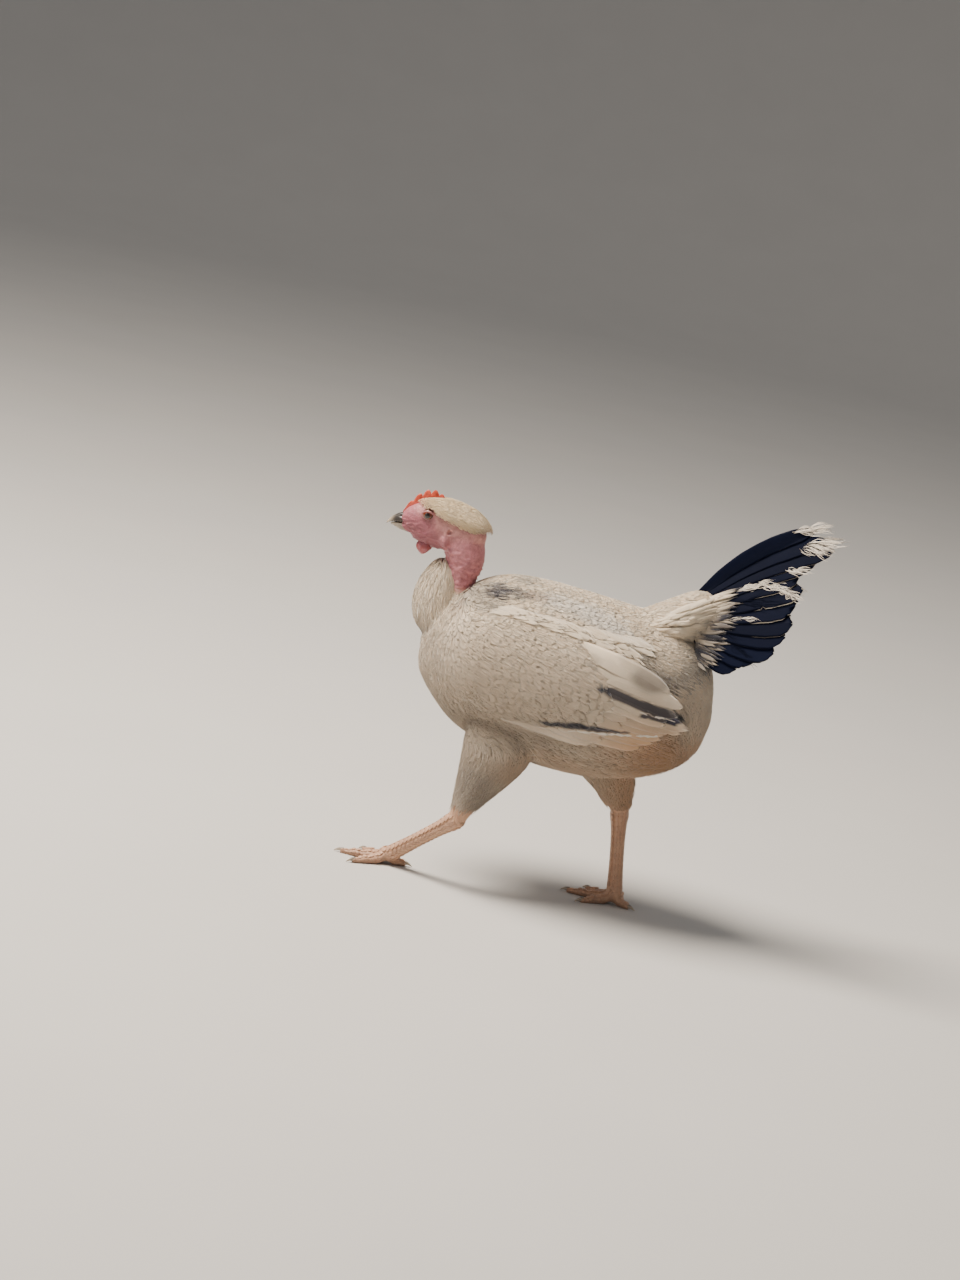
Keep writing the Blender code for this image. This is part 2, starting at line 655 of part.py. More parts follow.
def make_tail(torso, plumage):
    """The rump and its tail: two leaning fans of long feathers, with white ones over their roots."""
    rings = []
    for x, z, high, half in through(RUMP, 1):
        rings.append(oval(Vector((x, 0, z)), ACROSS, UP, half, high, 18))
    tail = loft("tail", rings, plumage)
    vanes = []
    for side in SIDES.values():
        for k, (root, tip, half, bend) in enumerate(TAIL_FEATHERS):
            shift = TAIL_UNEVEN * math.sin(1.7 * k + 1) if side == RIGHT else 0
            end = (tip[0] - abs(shift), tip[1] - shift)
            lie = on_flank(side, root, end, bend, (0, 0), TAIL_SHINGLE, tail_flank)
            vanes.append(vane(lie, LONG_VANE, half, plumage, TAIL_THICKNESS))
        for root, tip, half, bend in TAIL_COVERTS:
            lie = on_flank(side, root, tip, bend, (0, TAIL_COVERT_LIFT), TAIL_SHINGLE, rump_side)
            vanes.append(vane(lie, SHORT_VANE, half, plumage))
    combine(tail, "UNION", vanes)
    set_clear(tail, torso)
    join_flat(tail)
    return tail


def rump_side(x, z):
    """The rump's half width at this length and height, and behind it the flank of the tail."""
    rows = through(RUMP, 4)
    middle, high, half = (np.interp(x, rows[:, 0], rows[:, k]) for k in (1, 2, 3))
    height = min(abs(z - middle) / high, 1.0)
    return max(half * math.sqrt(1 - height**2), tail_flank(x, z) if x > RUMP_END_X else 0)


def make_wing(name, side, torso, thigh, plumage):
    """A folded wing: its flesh along the trunk, and four tiers of feathers that grow from it."""
    rings = []
    for x, bottom, top, thick in through(WING, 1):
        outer, inner = [], []
        for k in range(8):
            share = k / 7
            z = bottom + (top - bottom) * share
            face = torso_side(x, z)
            swell = math.sin(math.pi * share) ** 0.6 if 0 < share < 1 else 0
            edge = min(WING_EDGE, thick)
            outer.append(Vector((x, side * (face + edge + (thick - edge) * swell), z)))
            if k in (0, 2, 5, 7):
                inner.append(Vector((x, side * (face - WING_SINK), z)))
        rings.append(outer + inner[::-1])
    wing = loft(f"wing_{name}", rings, plumage)
    vanes = []
    for tier, count, roots, tips, rise, half, bend in WING_TIERS:
        outline = LONG_VANE if tier in ("primary", "secondary") else SHORT_VANE
        for k in range(count):
            share = k / (count - 1)
            root, tip = between(*roots, share), between(*tips, share)
            lie = on_flank(side, root, tip, bend, rise, WING_SHINGLE, wing_side)
            vanes.append(vane(lie, outline, half, plumage))
    combine(wing, "UNION", vanes)
    set_clear(wing, torso, thigh)
    join_flat(wing)
    return wing


def make_thigh(name, side, torso, plumage):
    thigh = limb(f"thigh_{name}", THIGHS[name], 2, 16, plumage, side)
    set_clear(thigh, torso)
    return thigh


def scuted(path, count, rise):
    """Adds rings of overlapping plates to a path of rows, and says how far each ring stands out."""
    rows, lifts = [path[0]], [0.0]
    shares = np.linspace(0, 1, len(path))
    columns = list(zip(*path))
    for k in range(count):
        first = SCUTE_START + (SCUTE_END - SCUTE_START) * k / count
        last = SCUTE_START + (SCUTE_END - SCUTE_START) * (k + 1 - SCUTE_LIP) / count
        for share, lift in ((first, 0.0), (last, rise)):
            rows.append(tuple(np.interp(share, shares, column) for column in columns))
            lifts.append(lift)
    rows.append(path[-1])
    lifts.append(0.0)
    return rows, lifts


def scaled_limb(name, rows, lifts, front, sides, finish):
    """A leg or toe through rows of x, y, z, half depth and half width, with plates down its front."""
    places = [Vector(row[:3]) for row in rows]
    rings = []
    for i, row in enumerate(rows):
        along = (places[min(i + 1, len(rows) - 1)] - places[max(i - 1, 0)]).normalized()
        ahead = (front - along * front.dot(along)).normalized()
        across = along.cross(ahead)
        ring = oval(places[i], across, ahead, row[4], row[3], sides)
        raised = []
        for point in ring:
            out = (point - places[i]).normalized()
            raised.append(point + out * (lifts[i] * max(0.0, out.dot(ahead)) ** 0.5))
        rings.append(raised)
    return loft(name, rings, finish)


def make_shank(name, side, thigh, scales):
    """The bare shank, from the hock to the knob that the toes grow from."""
    hock, foot = mirrored(HOCK[name], side), mirrored(FOOT[name], side)
    path = []
    for share, depth, half in SHANK:
        place = hock.lerp(foot, share)
        path.append((place.x, place.y, place.z, depth, half))
    rows, lifts = scuted(path, SHANK_SCUTES, SHANK_SCUTE_RISE)
    shank = scaled_limb(f"shank_{name}", rows, lifts, AHEAD, 10, scales)
    set_clear(shank, thigh)
    return shank


def toe_path(start, heading, length):
    """Rows of a toe from its root to its tip, its pads pressed to the floor."""
    steps = TOE_PADS * 4
    path = []
    for i in range(steps + 1):
        share = i / steps
        half = TOE_ROOT + (TOE_TIP - TOE_ROOT) * share
        half += TOE_PAD_SWELL * math.cos(2 * math.pi * TOE_PADS * share)
        rise = TOE_ARCH * max(0.0, 1 - share / TOE_ARCH_SHARE) ** 1.5
        place = start + heading * (length * share)
        path.append((place.x, place.y, half - TOE_PRESS + rise, half, half))
    return path


def make_toe(foot_name, side, toe_name, turn, length, blocks, floor, scales, horn):
    """A toe and its claw."""
    foot = mirrored(FOOT[foot_name], side)
    angle = math.radians(turn) * side
    heading = Vector((-math.cos(angle), math.sin(angle), 0))
    across = heading.cross(UP)
    start = Vector((foot.x, foot.y, 0)) + heading * TOE_START
    rows, lifts = scuted(toe_path(start, heading, length), round(length / TOE_SCUTE_LENGTH), TOE_SCUTE_RISE)
    toe = scaled_limb(f"toe_{toe_name}_{foot_name}", rows, lifts, UP, 8, scales)
    ground = floor.copy()
    ground.data = floor.data.copy()
    bpy.context.scene.collection.objects.link(ground)
    combine(toe, "DIFFERENCE", [ground, *(grown(block, TOE_GAP) for block in blocks)])
    tip = start + heading * (length - CLAW_SINK)
    claw_rings = []
    for i in range(5):
        share = i / 4
        half = CLAW_RADIUS * (1 - share) ** 0.8 + CLAW_POINT
        arch = CLAW_BASE_HEIGHT + math.sin(math.pi * share) - CLAW_FALL * share
        place = tip + heading * (CLAW_LENGTH * share) + UP * arch
        claw_rings.append(oval(place, across, UP, half * CLAW_NARROWNESS, half, 6))
    claw = loft(f"claw_{toe_name}_{foot_name}", claw_rings, horn)
    set_clear(claw, toe)
    return toe, claw


def make_floor(scales):
    """A block below the floor, which flattens the soles."""
    rings = [
        [Vector((x, y, z)) for y, z in ((-200, -60), (200, -60), (200, 0), (-200, 0))] for x in (-300, 300)
    ]
    floor = loft("floor_block", rings, scales)
    floor.hide_render = True
    floor.display_type = "WIRE"
    return floor


def main():
    clear_scene()
    plumage = finish_of("white plumage", FEATHER_WHITE, 0.8)
    skin = finish_of("bare skin", BARE_RED, 0.55)
    flesh = finish_of("comb flesh", COMB_RED, 0.5)
    horn = finish_of("horn", HORN, 0.4)
    scales = finish_of("leg scales", LEG_TAN, 0.5)
    black = finish_of("tail feathers", TAIL_BLACK, 0.45)
    iris = finish_of("eye", EYE_BROWN, 0.08)

    torso = make_torso(plumage)
    head, head_core = make_head(skin)
    bills = make_bill(head_core, horn)
    comb = make_comb(head_core, bills, flesh)
    neck = make_neck(head_core, torso, skin)
    make_cap(head_core, comb, neck, plumage)
    make_bib(neck, torso, head_core, plumage)
    make_tail(torso, black)
    floor = make_floor(scales)
    for name, side in SIDES.items():
        make_eye(name, side, iris)
        make_wattle(name, side, head_core, bills, flesh)
        make_earlobe(name, side, head, flesh)
        thigh = make_thigh(name, side, torso, plumage)
        make_wing(name, side, torso, thigh, plumage)
        shank = make_shank(name, side, thigh, scales)
        middle = None
        for toe_name, turn, length in TOES:
            blocks = [shank] if middle is None else [shank, middle]
            toe, _ = make_toe(name, side, toe_name, turn, length, blocks, floor, scales, horn)
            middle = middle or toe
    bpy.data.objects.remove(head_core, do_unlink=True)
    bpy.data.objects.remove(floor, do_unlink=True)


main()
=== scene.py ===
"""The looks of a life-size naked-neck pullet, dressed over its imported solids.

The bird faces -X, its left side faces -Y and the floor is z = 0. The tables give millimetres, and points
become metres as meshes are made. The forms repeat those of the solids.
"""

import math

import bmesh
import bpy
import numpy as np
from bpy.props import FloatProperty, FloatVectorProperty, IntProperty, PointerProperty
from mathutils import Matrix, Vector, noise
from mathutils.bvhtree import BVHTree


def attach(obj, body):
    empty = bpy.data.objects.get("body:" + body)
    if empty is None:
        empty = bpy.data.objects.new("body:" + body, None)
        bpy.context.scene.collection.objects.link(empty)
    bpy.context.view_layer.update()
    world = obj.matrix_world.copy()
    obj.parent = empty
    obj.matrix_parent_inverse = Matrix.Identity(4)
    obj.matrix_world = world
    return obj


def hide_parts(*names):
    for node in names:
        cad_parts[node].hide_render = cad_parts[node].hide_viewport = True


bl_info = {
    "name": "Naked-neck pullet",
    "version": (1, 0, 0),
    "blender": (4, 5, 0),
    "location": "3D view, sidebar, Pullet",
    "description": "Builds the skin, plumage, head, feet and studio of a life-size pullet",
    "category": "Object",
}

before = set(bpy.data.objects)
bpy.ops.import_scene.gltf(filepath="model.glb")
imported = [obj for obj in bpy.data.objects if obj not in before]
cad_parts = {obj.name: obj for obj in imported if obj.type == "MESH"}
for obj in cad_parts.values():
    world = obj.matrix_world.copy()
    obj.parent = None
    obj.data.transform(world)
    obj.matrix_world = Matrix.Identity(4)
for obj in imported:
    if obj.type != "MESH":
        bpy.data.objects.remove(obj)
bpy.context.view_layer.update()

MM = 0.001
# The least half width and the least height of a form that is set in from its table, in millimetres.
THINNEST, LOWEST = 0.5, 0.8
ROOT = "root"
SEED = 11
LEFT, RIGHT = -1, 1
SIDES = {"left": LEFT, "right": RIGHT}

# Trunk: x, top, bottom, half width.
TORSO = (
    (-133, 187, 183, 3), (-130, 206, 168, 21), (-122, 221, 156, 33), (-108, 239, 142, 44),
    (-92, 252, 130, 52), (-70, 260.5, 121, 58), (-40, 262.5, 114, 61), (-5, 261, 111, 62),
    (30, 258.5, 112, 60), (60, 256, 118, 54), (84, 249, 129, 46), (100, 236, 141, 36),
    (111, 213, 156, 23), (116, 184, 176, 4),
)
TORSO_SQUARENESS = 2.2
# Skull and face: x, top, bottom, half width.
HEAD = (
    (-171, 290, 284, 3), (-168, 295, 279, 7), (-162, 300, 275, 10), (-154, 304.5, 271, 12.6),
    (-145, 307.5, 268.5, 14), (-134, 308.5, 267.5, 14.6), (-122, 306.5, 267.5, 14.3),
    (-111, 302, 270, 13), (-103, 296, 275, 10), (-98, 288, 281, 4),
)
# Bare neck: x, y, z, half depth, half width.
NECK = (
    (-122, 0, 290, 12, 11), (-115, 0, 277, 16.5, 14), (-111.5, 0, 263, 16, 13.4), (-113, 0, 248, 13.5, 12),
    (-111, 0, 232, 15, 14), (-100, 0, 214, 22, 20), (-88, 0, 200, 26, 26),
)
# Tuft on the front of the neck: z, middle x, half depth, half width.
BIB = (
    (263, -127, 2, 3), (259, -127, 9, 10), (250, -127.5, 15, 17), (237, -127.5, 20, 22), (224, -127, 22, 25),
    (212, -125.5, 21, 26), (203, -124, 17, 23), (197, -122, 10, 15), (195, -121, 3, 5),
)
# Feathered crown: x, top, bottom, half width. Then x and z along its lower edge, and the sloping line that the
# skin grows paler above, by its front end (x, z) and its slope.
CAP = (
    (-162, 303, 297, 3), (-158, 306, 290, 9), (-148, 309.5, 284, 14.5), (-135, 311.4, 280, 16.6),
    (-122, 310, 278, 16.4), (-110, 306.5, 278, 14.6), (-101, 301, 280, 11), (-96, 296, 284, 6),
    (-94, 292, 288, 2),
)
CAP_EDGE_X, CAP_EDGE_Z = (-162, -125, -108, -97), (304.5, 294.0, 290.3, 291.8)
PALE_LINE_X, PALE_LINE_Z, PALE_LINE_SLOPE = -162, 304.5, -0.283
# Rump: x, middle z, half height, half width.
RUMP = (
    (44, 238, 22, 26), (62, 246.5, 25.5, 27), (78, 256, 26, 24), (90, 263, 23, 18), (101, 267, 16, 12),
    (109, 268, 9, 7), (114, 268, 3, 3),
)
# Where the bare neck ends behind and below, and how high the legs' strips of the unwrap reach.
NECK_BACK_X, NECK_FOOT_Z, LEG_TOP_Z = -84, 232, 118
# How low the plumage of the front (left) leg and the rear (right) leg reaches.
FRONT_LEG_BARE_Z, REAR_LEG_BARE_Z = 76, 86
# Flesh of the folded wing: x, bottom, top, thickness over the trunk.
WING = (
    (-113, 195, 203, 1.5), (-107, 181, 214, 4), (-97, 169, 226, 7), (-80, 158, 237, 8.5), (-55, 150, 244, 8),
    (-28, 148, 244, 6.5), (0, 150, 236, 5), (22, 155, 222, 3.6), (38, 163, 205, 2.4), (46, 172, 190, 1.5),
)
THIGHS = {
    "left": (
        (-40, 28, 162, 31, 18), (-44, 33, 141, 31.5, 21), (-48, 38, 121, 28.5, 21.5),
        (-53.5, 42, 102, 22, 18.5), (-59.5, 44.5, 84, 15, 13.5), (-64, 46.5, 69, 10, 9.5),
        (-66.5, 47, 60.5, 7.6, 7.4),
    ),
    "right": (
        (12, 28, 156, 32, 18), (22, 33, 136, 29, 20), (36, 36.5, 116, 23, 18), (46, 37.5, 102, 18, 15),
        (51, 38.5, 91, 14.5, 12.5), (55, 39, 82.5, 10.2, 9.8), (56.5, 39, 78, 8, 7.8),
    ),
}
HOCK = {"left": (-67, 47, 58), "right": (57, 39, 76)}
FOOT = {"left": (-120, 24, 8), "right": (69, 25, 8)}
# Bare shank: share of the way from hock to foot, half depth, half width.
SHANK = (
    (-0.06, 7.2, 7.0), (0.04, 7.9, 6.8), (0.14, 7.0, 5.7), (0.3, 6.2, 5.1), (0.6, 6.0, 4.9),
    (0.84, 6.4, 5.5), (0.96, 6.5, 6.4), (1.04, 5.2, 5.6), (1.09, 2.4, 2.8),
)
# Toes: name, heading from straight ahead in degrees, length without the claw.
TOES = (("middle", 2, 39), ("inner", -37, 30), ("outer", 40, 32), ("hind", 200, 14))
TOE_ROOT, TOE_TIP, TOE_PADS, TOE_PAD_SWELL = 4.9, 2.3, 3, 0.35
TOE_START, TOE_ARCH, TOE_ARCH_SHARE, TOE_PRESS = 2.0, 5.4, 0.3, 0.6
CLAW_LENGTH, CLAW_RADIUS, CLAW_SINK, CLAW_BASE_HEIGHT, CLAW_FALL = 8.0, 1.9, 2.5, 2.6, 1.9
CLAW_POINT, CLAW_NARROWNESS = 0.25, 0.8

EYE_CENTRE, EYE_RADIUS = (-147.5, 11.2, 295.5), 5.2
EAR_CENTRE = (-126.5, 14.2, 285.5)
EARLOBE_CENTRE, EARLOBE_SIZE = (-129.5, 13.6, 277.5), (4.2, 2.6, 5.2)
WATTLE_TOP, WATTLE_DROP, WATTLE_HALF_DEPTH, WATTLE_HALF_WIDTH = (-148, 5.4, 273), 11.5, 6.0, 2.1
# Bill: x, top, bottom, half width.
BILL_UPPER = (
    (-160, 292.5, 284, 6.6), (-166, 292.3, 283.3, 6.2), (-172, 290.6, 282.6, 5.0), (-177, 287.6, 281.8, 3.7),
    (-180.5, 284.2, 280.6, 2.3), (-182.6, 280.8, 278.9, 0.9),
)
BILL_LOWER = (
    (-160, 283.7, 275.5, 5.4), (-166, 283.1, 275.9, 5.1), (-172, 282.4, 276.9, 4.1),
    (-176, 281.6, 278.3, 2.8), (-179, 280.5, 279.3, 1.2),
)
NOSTRIL = (-170.5, 5.2, 288.2)
COMB_FRONT, COMB_BACK, COMB_BASE_FRONT, COMB_BASE_BACK = -171.0, -137.0, 291.0, 307.0
COMB_HEIGHT, COMB_POINTS, COMB_ARCH, COMB_SINK, COMB_NOTCH = 12.0, 5, 3.0, 5.0, 0.36
COMB_FOOT, COMB_TOP = 2.1, 0.7
BILL_SQUARENESS = 2.3

# A tier of the folded wing: count, roots and tips of its lowest and highest feather (x, z), how far out
# roots and tips lie, half width and bend.
WING_TIERS = {
    "primary": (9, ((-4, 155), (14, 186)), ((66, 154), (103, 177)), (1.0, 3.2), 6.3, 3.0),
    "secondary": (13, ((-60, 158), (-8, 228)), ((30, 149), (84, 205)), (1.6, 4.1), 8.4, 3.0),
    "tertial": (5, ((2, 196), (8, 212)), ((84, 178), (97, 193)), (3.0, 4.5), 6.6, 2.0),
}
# The share of a wing feather that climbs from under the next one.
ROOT_SHARE = 0.35
# Dark streaks of the folded wing and the white edges beside them: start and end (x, z), half height at both.
WING_STREAKS = (
    ((27, 199), (40, 197), 1.6, 4.6), ((40, 197), (62, 192), 4.6, 4.2), ((62, 192), (86, 187), 4.2, 5.2),
    ((86, 187), (96, 184.5), 5.2, 2.5), ((66, 183.5), (92, 181.5), 1.6, 2.4),
    ((-12, 160), (18, 164), 1.6, 3.0), ((18, 164), (58, 166.8), 3.0, 0.8),
)
WING_EDGES = (
    ((60, 186.2), (90, 183.2), 0.6, 1.1), ((-4, 158.2), (30, 160.6), 0.7, 1.2),
    ((30, 160.6), (80, 168.0), 1.2, 0.8),
)
WING_SHINGLE, WING_LEVELLING_X, WING_LEVELLING_SLOPE = 0.05, 62.0, 0.38
# Outlines of feathers: share of the length, and share of the half width there.
LONG_VANE = ((0.0, 0.4), (0.2, 0.76), (0.45, 0.95), (0.7, 1.0), (0.86, 0.88), (0.95, 0.56), (1.0, 0.1))
STRAND = ((0.0, 0.6), (0.4, 1.0), (0.75, 0.7), (1.0, 0.12))
SHORT_VANE = ((0.0, 0.4), (0.15, 0.75), (0.38, 1.0), (0.62, 1.0), (0.82, 0.82), (0.94, 0.5), (1.0, 0.12))
NARROW_VANE = ((0.0, 0.5), (0.2, 0.9), (0.5, 1.0), (0.75, 0.75), (0.9, 0.42), (1.0, 0.06))
# How far apart barbs are drawn on the Vane map, in centimetres. Real barbs are 0.3 mm apart, which the render
# wouldn't show.
BARB_GAP = 0.06

# The parts of the flank, seen from the side (x, z), that flight feathers cover, and where coverts grow. Both
# lie more than WING_Y from the middle plane.
WING_OUTLINE = ((14, 157), (12, 186), (26, 206), (44, 215), (68, 205), (66, 184), (50, 164), (30, 157))
COVERTS_OUTLINE = (
    (-84, 176), (-80, 226), (-52, 238), (-14, 238), (44, 220), (26, 206), (12, 186), (14, 156), (-60, 156),
)
WING_Y = 34
# How much the flight feathers add to the folded wing's flesh, and how full its form is.
WING_TIERS_DEPTH, WING_FULLNESS = 3.2, 0.35
ZONES = ("left_front", "right_front", "left_rear", "right_rear")
# Rows of shoulder feathers: middle of the row (left is mirrored), its drop, length and count.
SCAPULARS = (
    ((-74, 49, 243), 26, 25, 18), ((-58, 49, 241), 28, 28, 19), ((-40, 49, 239), 30, 31, 19),
    ((-22, 48, 238), 30, 33, 18), ((-4, 46, 236), 28, 34, 16), ((14, 43, 235), 24, 34, 14),
    ((30, 39, 236), 16, 32, 11), ((6, 48, 228), 14, 32, 9), ((22, 46, 224), 12, 32, 8),
)
# Marks of the plumage: middle and reach (x, distance from the middle plane, z), colour and strength.
# Grey marks behind the shoulder ridge, on the rear flank and on the front thigh are painted shade.
COAT_MARKS = (
    ((-98, 24, 244), (15, 30, 10), "smoke_and_shade", 0.42), ((-84, 34, 249), (12, 26, 8), "smoke_and_shade", 1.0),
    ((-68, 38, 253), (14, 22, 6), "smoke_and_shade", 0.75), ((-86, 46, 238), (17, 20, 7), "smoke_and_shade", 0.5),
    ((-54, 40, 255), (14, 20, 5), "rust", 0.7), ((-66, 8, 260), (14, 16, 6), "smoke_and_shade", 0.4),
    ((-106, 26, 236), (9, 12, 7), "rust", 0.5), ((14, 62, 219), (13, 14, 8), "smoke_and_shade", 0.25),
    # Painted shade behind the shoulder ridge and on the rear flank: the grey marks at x 48, 67 and 84.
    ((48, 50, 229), (16, 26, 14), "smoke_and_shade", 0.42), ((67, 56, 214), (22, 28, 14), "smoke_and_shade", 0.6),
    ((84, 48, 222), (16, 26, 14), "smoke_and_shade", 0.35), ((100, 20, 240), (15, 34, 20), "night", 0.85),
    # Painted shade on the front thigh: the grey mark at x -54, the second in this row.
    ((86, 30, 232), (20, 26, 20), "smoke_and_shade", 0.35), ((-54, 46, 98), (22, 26, 34), "smoke_and_shade", 0.32),
    ((-20, 30, 120), (60, 40, 26), "tan", 0.3),
)
# The brightest plumage, a painted highlight along the ridge of the shoulder feathers, which are a little
# whiter there too: places (x, z).
PAINTED_HIGHLIGHT_RIDGE = ((-42, 256), (-8, 252), (16, 246), (38, 235))
# Columns of plates round a shank and a toe: angle from the front, half width, thickness, start, end.
SHANK_PLATES = tuple(
    (turn * sign, half, thick, start, stop)
    for turn, half, thick, start, stop in (
        (0.42, 3.1, 0.7, 0.02, 0.95), (1.25, 1.9, 0.5, 0.03, 0.94), (1.85, 1.7, 0.45, 0.03, 0.94),
        (2.6, 2.4, 0.55, 0.04, 0.92),
    ) for sign in (1, -1)
)
TOE_PLATES = ((0.0, 4.6, 0.7, 0.04, 0.97), (1.15, 2.2, 0.45, 0.06, 0.95), (-1.15, 2.2, 0.45, 0.06, 0.95))

# Tail feathers of one side, top first: root and tip (x, z), half width, bend.
TAIL_FEATHERS = (
    ((84, 281), (167, 357), 8.0, 7.0), ((86, 277), (186, 349), 11.0, 7.0),
    ((89, 272), (161, 320), 12.5, 5.0), ((91, 267), (166, 299), 14.0, 2.0),
    ((92, 262), (165, 277), 15.0, 0.0), ((92, 257), (154, 253), 15.0, -2.0),
    ((90, 252), (130, 234), 13.5, -3.0),
)
TAIL_COUNT, SADDLE_COUNT = 12, 260
TAIL_RIDGE_HALF_GAP, TAIL_TENT, TAIL_SHINGLE, TAIL_UNEVEN = 1.9, 0.42, 0.13, 3.0
# How white the margin and the tip of each tail feather are, top first.
TAIL_MARGIN = (0.2, 0.7, 0.75, 0.95, 0.65, 0.4, 0.2)
TAIL_WHITE_TIP = (0.6, 0.72, 0.66, 0.2, 0.0, 0.0, 0.0)

# Loose barbs of the tail: first and last root (x, z), heading in degrees, length, count, whiteness.
TAIL_FRAY = (
    ((148, 349), (164, 356.5), 16, 19, 34, 1.0), ((160, 342), (175, 349), 8, 17, 44, 1.0),
    ((156, 338), (170, 344), -10, 15, 30, 1.0), ((148, 318), (158, 322), 6, 14, 34, 1.0),
    ((112, 292), (135, 304.5), 27, 14, 50, 0.9), ((128, 303.5), (150, 304.5), 2, 14, 50, 1.0),
    ((146, 304), (160, 301), -6, 9, 40, 1.0), ((84, 268.5), (104, 267.5), 0, 13, 30, 0.9),
    ((112, 270), (128, 273.5), 14, 13, 24, 0.85), ((86, 250), (104, 262), 4, 16, 40, 0.35),
    ((104, 262), (132, 246), -24, 18, 50, 0.0), ((108, 283), (138, 290), 10, 20, 50, 0.0),
)

# The camera that took the photograph, worked out from the wall and the bird.
CAMERA_PLACE = (0.26178, -2.47011, 0.73083)
CAMERA_RIGHT = (0.96261, 0.17894, 0.20337)
CAMERA_UP = (-0.23419, 0.17245, 0.95677)
CAMERA_LENS = 86.03
# The studio, in metres: what the lights face, then the name, place, size, power and colour of each.
LIT = (0, 0, 0.2)
LIGHTS = (
    ("key", (-1.0, -0.2, 2.1), 1.2, 162, (1.0, 0.9, 0.78)),
    ("front_fill", (-1.8, -2.0, 1.1), 1.6, 9, (1.0, 0.96, 0.92)),
    ("rear_fill", (1.6, 1.4, 1.3), 1.2, 7, (1.0, 0.96, 0.9)),
)
FLOOR_COLOUR, SKY_COLOUR, SKY_STRENGTH = (0.50, 0.485, 0.465), (0.97, 0.98, 1.0, 1), 0.28


def linear(code):
    """A colour given in sRGB hex, as linear numbers."""
    parts = [int(code[i:i + 2], 16) / 255 for i in (1, 3, 5)]
    return tuple(c / 12.92 if c <= 0.04045 else ((c + 0.055) / 1.055) ** 2.4 for c in parts)


# Numbers and curves.


def smooth(low, high, value):
    """0 below low, 1 above high, and a soft step between them. Low may be the higher one."""
    share = np.clip((np.asarray(value, float) - low) / (high - low), 0, 1)
    return share * share * (3 - 2 * share)


def unit(vectors):
    """Vectors brought to length 1."""
    size = np.linalg.norm(vectors, axis=-1, keepdims=True)
    return vectors / np.maximum(size, 1e-12)


def through(stations, steps):
    """Points on the smooth curve through the stations, with this many steps between each two."""
    points = np.array(stations, float)
    padded = np.vstack([2 * points[0] - points[1], points, 2 * points[-1] - points[-2]])
    found = []
    for i in range(1, len(padded) - 2):
        a, b, c, d = padded[i - 1:i + 3]
        for k in range(steps):
            t = k / steps
            bend = (c - a) * t + (2 * a - 5 * b + 4 * c - d) * t**2 + (3 * b - a - 3 * c + d) * t**3
            found.append(b + 0.5 * bend)
    found.append(points[-1])
    return np.array(found)


def to_one_side(points):
    """Points of both sides of the bird, brought to the side of positive Y."""
    return np.stack([points[..., 0], np.abs(points[..., 1]), points[..., 2]], -1)


def reaches(points, centre, reach):
    """How far points of either side lie from a centre on the side of positive Y, in parts of its reach."""
    return np.linalg.norm((to_one_side(points) - np.array(centre)) / np.array(reach), axis=-1)


def ridge(value, middle, width):
    """1 where a value is at the middle, falling off over this width to both sides."""
    return np.exp(-((value - middle) / width) ** 2)


def look_up(x, rows, column):
    """A column of a form's rows at each x, its first column."""
    return np.interp(x, rows[:, 0], rows[:, column])


def roughness_at(points, size, seed):
    """Smooth noise from -1 to 1 at each point, its lumps about this many millimetres across."""
    shift = Vector((seed * 17.3, seed * 5.1, seed * 9.7))
    return np.array([noise.noise(Vector(p) / size + shift) for p in points])


# Meshes from arrays.


def grid_faces(rows, cols, closed=False):
    """Quads of a grid of points, row after row, whose first edges run along the rows' order."""
    r, c = np.meshgrid(np.arange(rows - 1), np.arange(cols if closed else cols - 1), indexing="ij")
    start = (r * cols + c).ravel()
    beside = (r * cols + (c + 1) % cols).ravel()
    return np.stack([start, start + cols, beside + cols, beside], 1)


def piece(made, slot, *replaced):
    """Sets a piece on the root body and hides the solids that it replaces. Its slot is not used."""
    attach(made, ROOT)
    if any(replaced):
        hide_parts(*replaced)
    return made


def mesh_of(name, points, faces=()):
    """A mesh from points in millimetres."""
    mesh = bpy.data.meshes.new(name)
    mesh.from_pydata((points * MM).tolist(), [], faces)
    return mesh


def new_object(name, mesh, finish):
    """An object in the scene, with one material."""
    mesh.materials.clear()
    mesh.materials.append(finish)
    made = bpy.data.objects.new(name, mesh)
    bpy.context.scene.collection.objects.link(made)
    return made


def array_object(name, points, quads, finish, colours=None, values=None, maps=None, flip=False):
    """An object from arrays: points in millimetres, quads, and what each point carries."""
    quads = np.asarray(quads)[:, ::-1] if flip else np.asarray(quads)
    mesh = bpy.data.meshes.new(name)
    mesh.vertices.add(len(points))
    mesh.vertices.foreach_set("co", (np.asarray(points, np.float32) * MM).ravel())
    mesh.loops.add(quads.size)
    mesh.loops.foreach_set("vertex_index", quads.astype(np.int32).ravel())
    mesh.polygons.add(len(quads))
    mesh.polygons.foreach_set("loop_start", np.arange(0, quads.size, 4, dtype=np.int32))
    mesh.update(calc_edges=True)
    carry(mesh, colours, values, maps)
    mesh.shade_smooth()
    return new_object(name, mesh, finish)


def carry(mesh, colours=None, values=None, maps=None):
    """Stores colours, plain values and UV maps, given for each point of a mesh."""
    if colours is not None:
        layer = mesh.color_attributes.new("Colour", "FLOAT_COLOR", "POINT")
        full = np.ones((len(colours), 4), np.float32)
        full[:, :3] = colours
        layer.data.foreach_set("color", full.ravel())
    for key, numbers in (values or {}).items():
        layer = mesh.attributes.new(key, "FLOAT", "POINT")
        layer.data.foreach_set("value", np.asarray(numbers, np.float32))
    corners = np.zeros(len(mesh.loops), np.int32)
    mesh.loops.foreach_get("vertex_index", corners)
    for key, places in (maps or {}).items():
        layer = mesh.uv_layers.new(name=key)
        layer.uv.foreach_set("vector", np.asarray(places, np.float32)[corners].ravel())


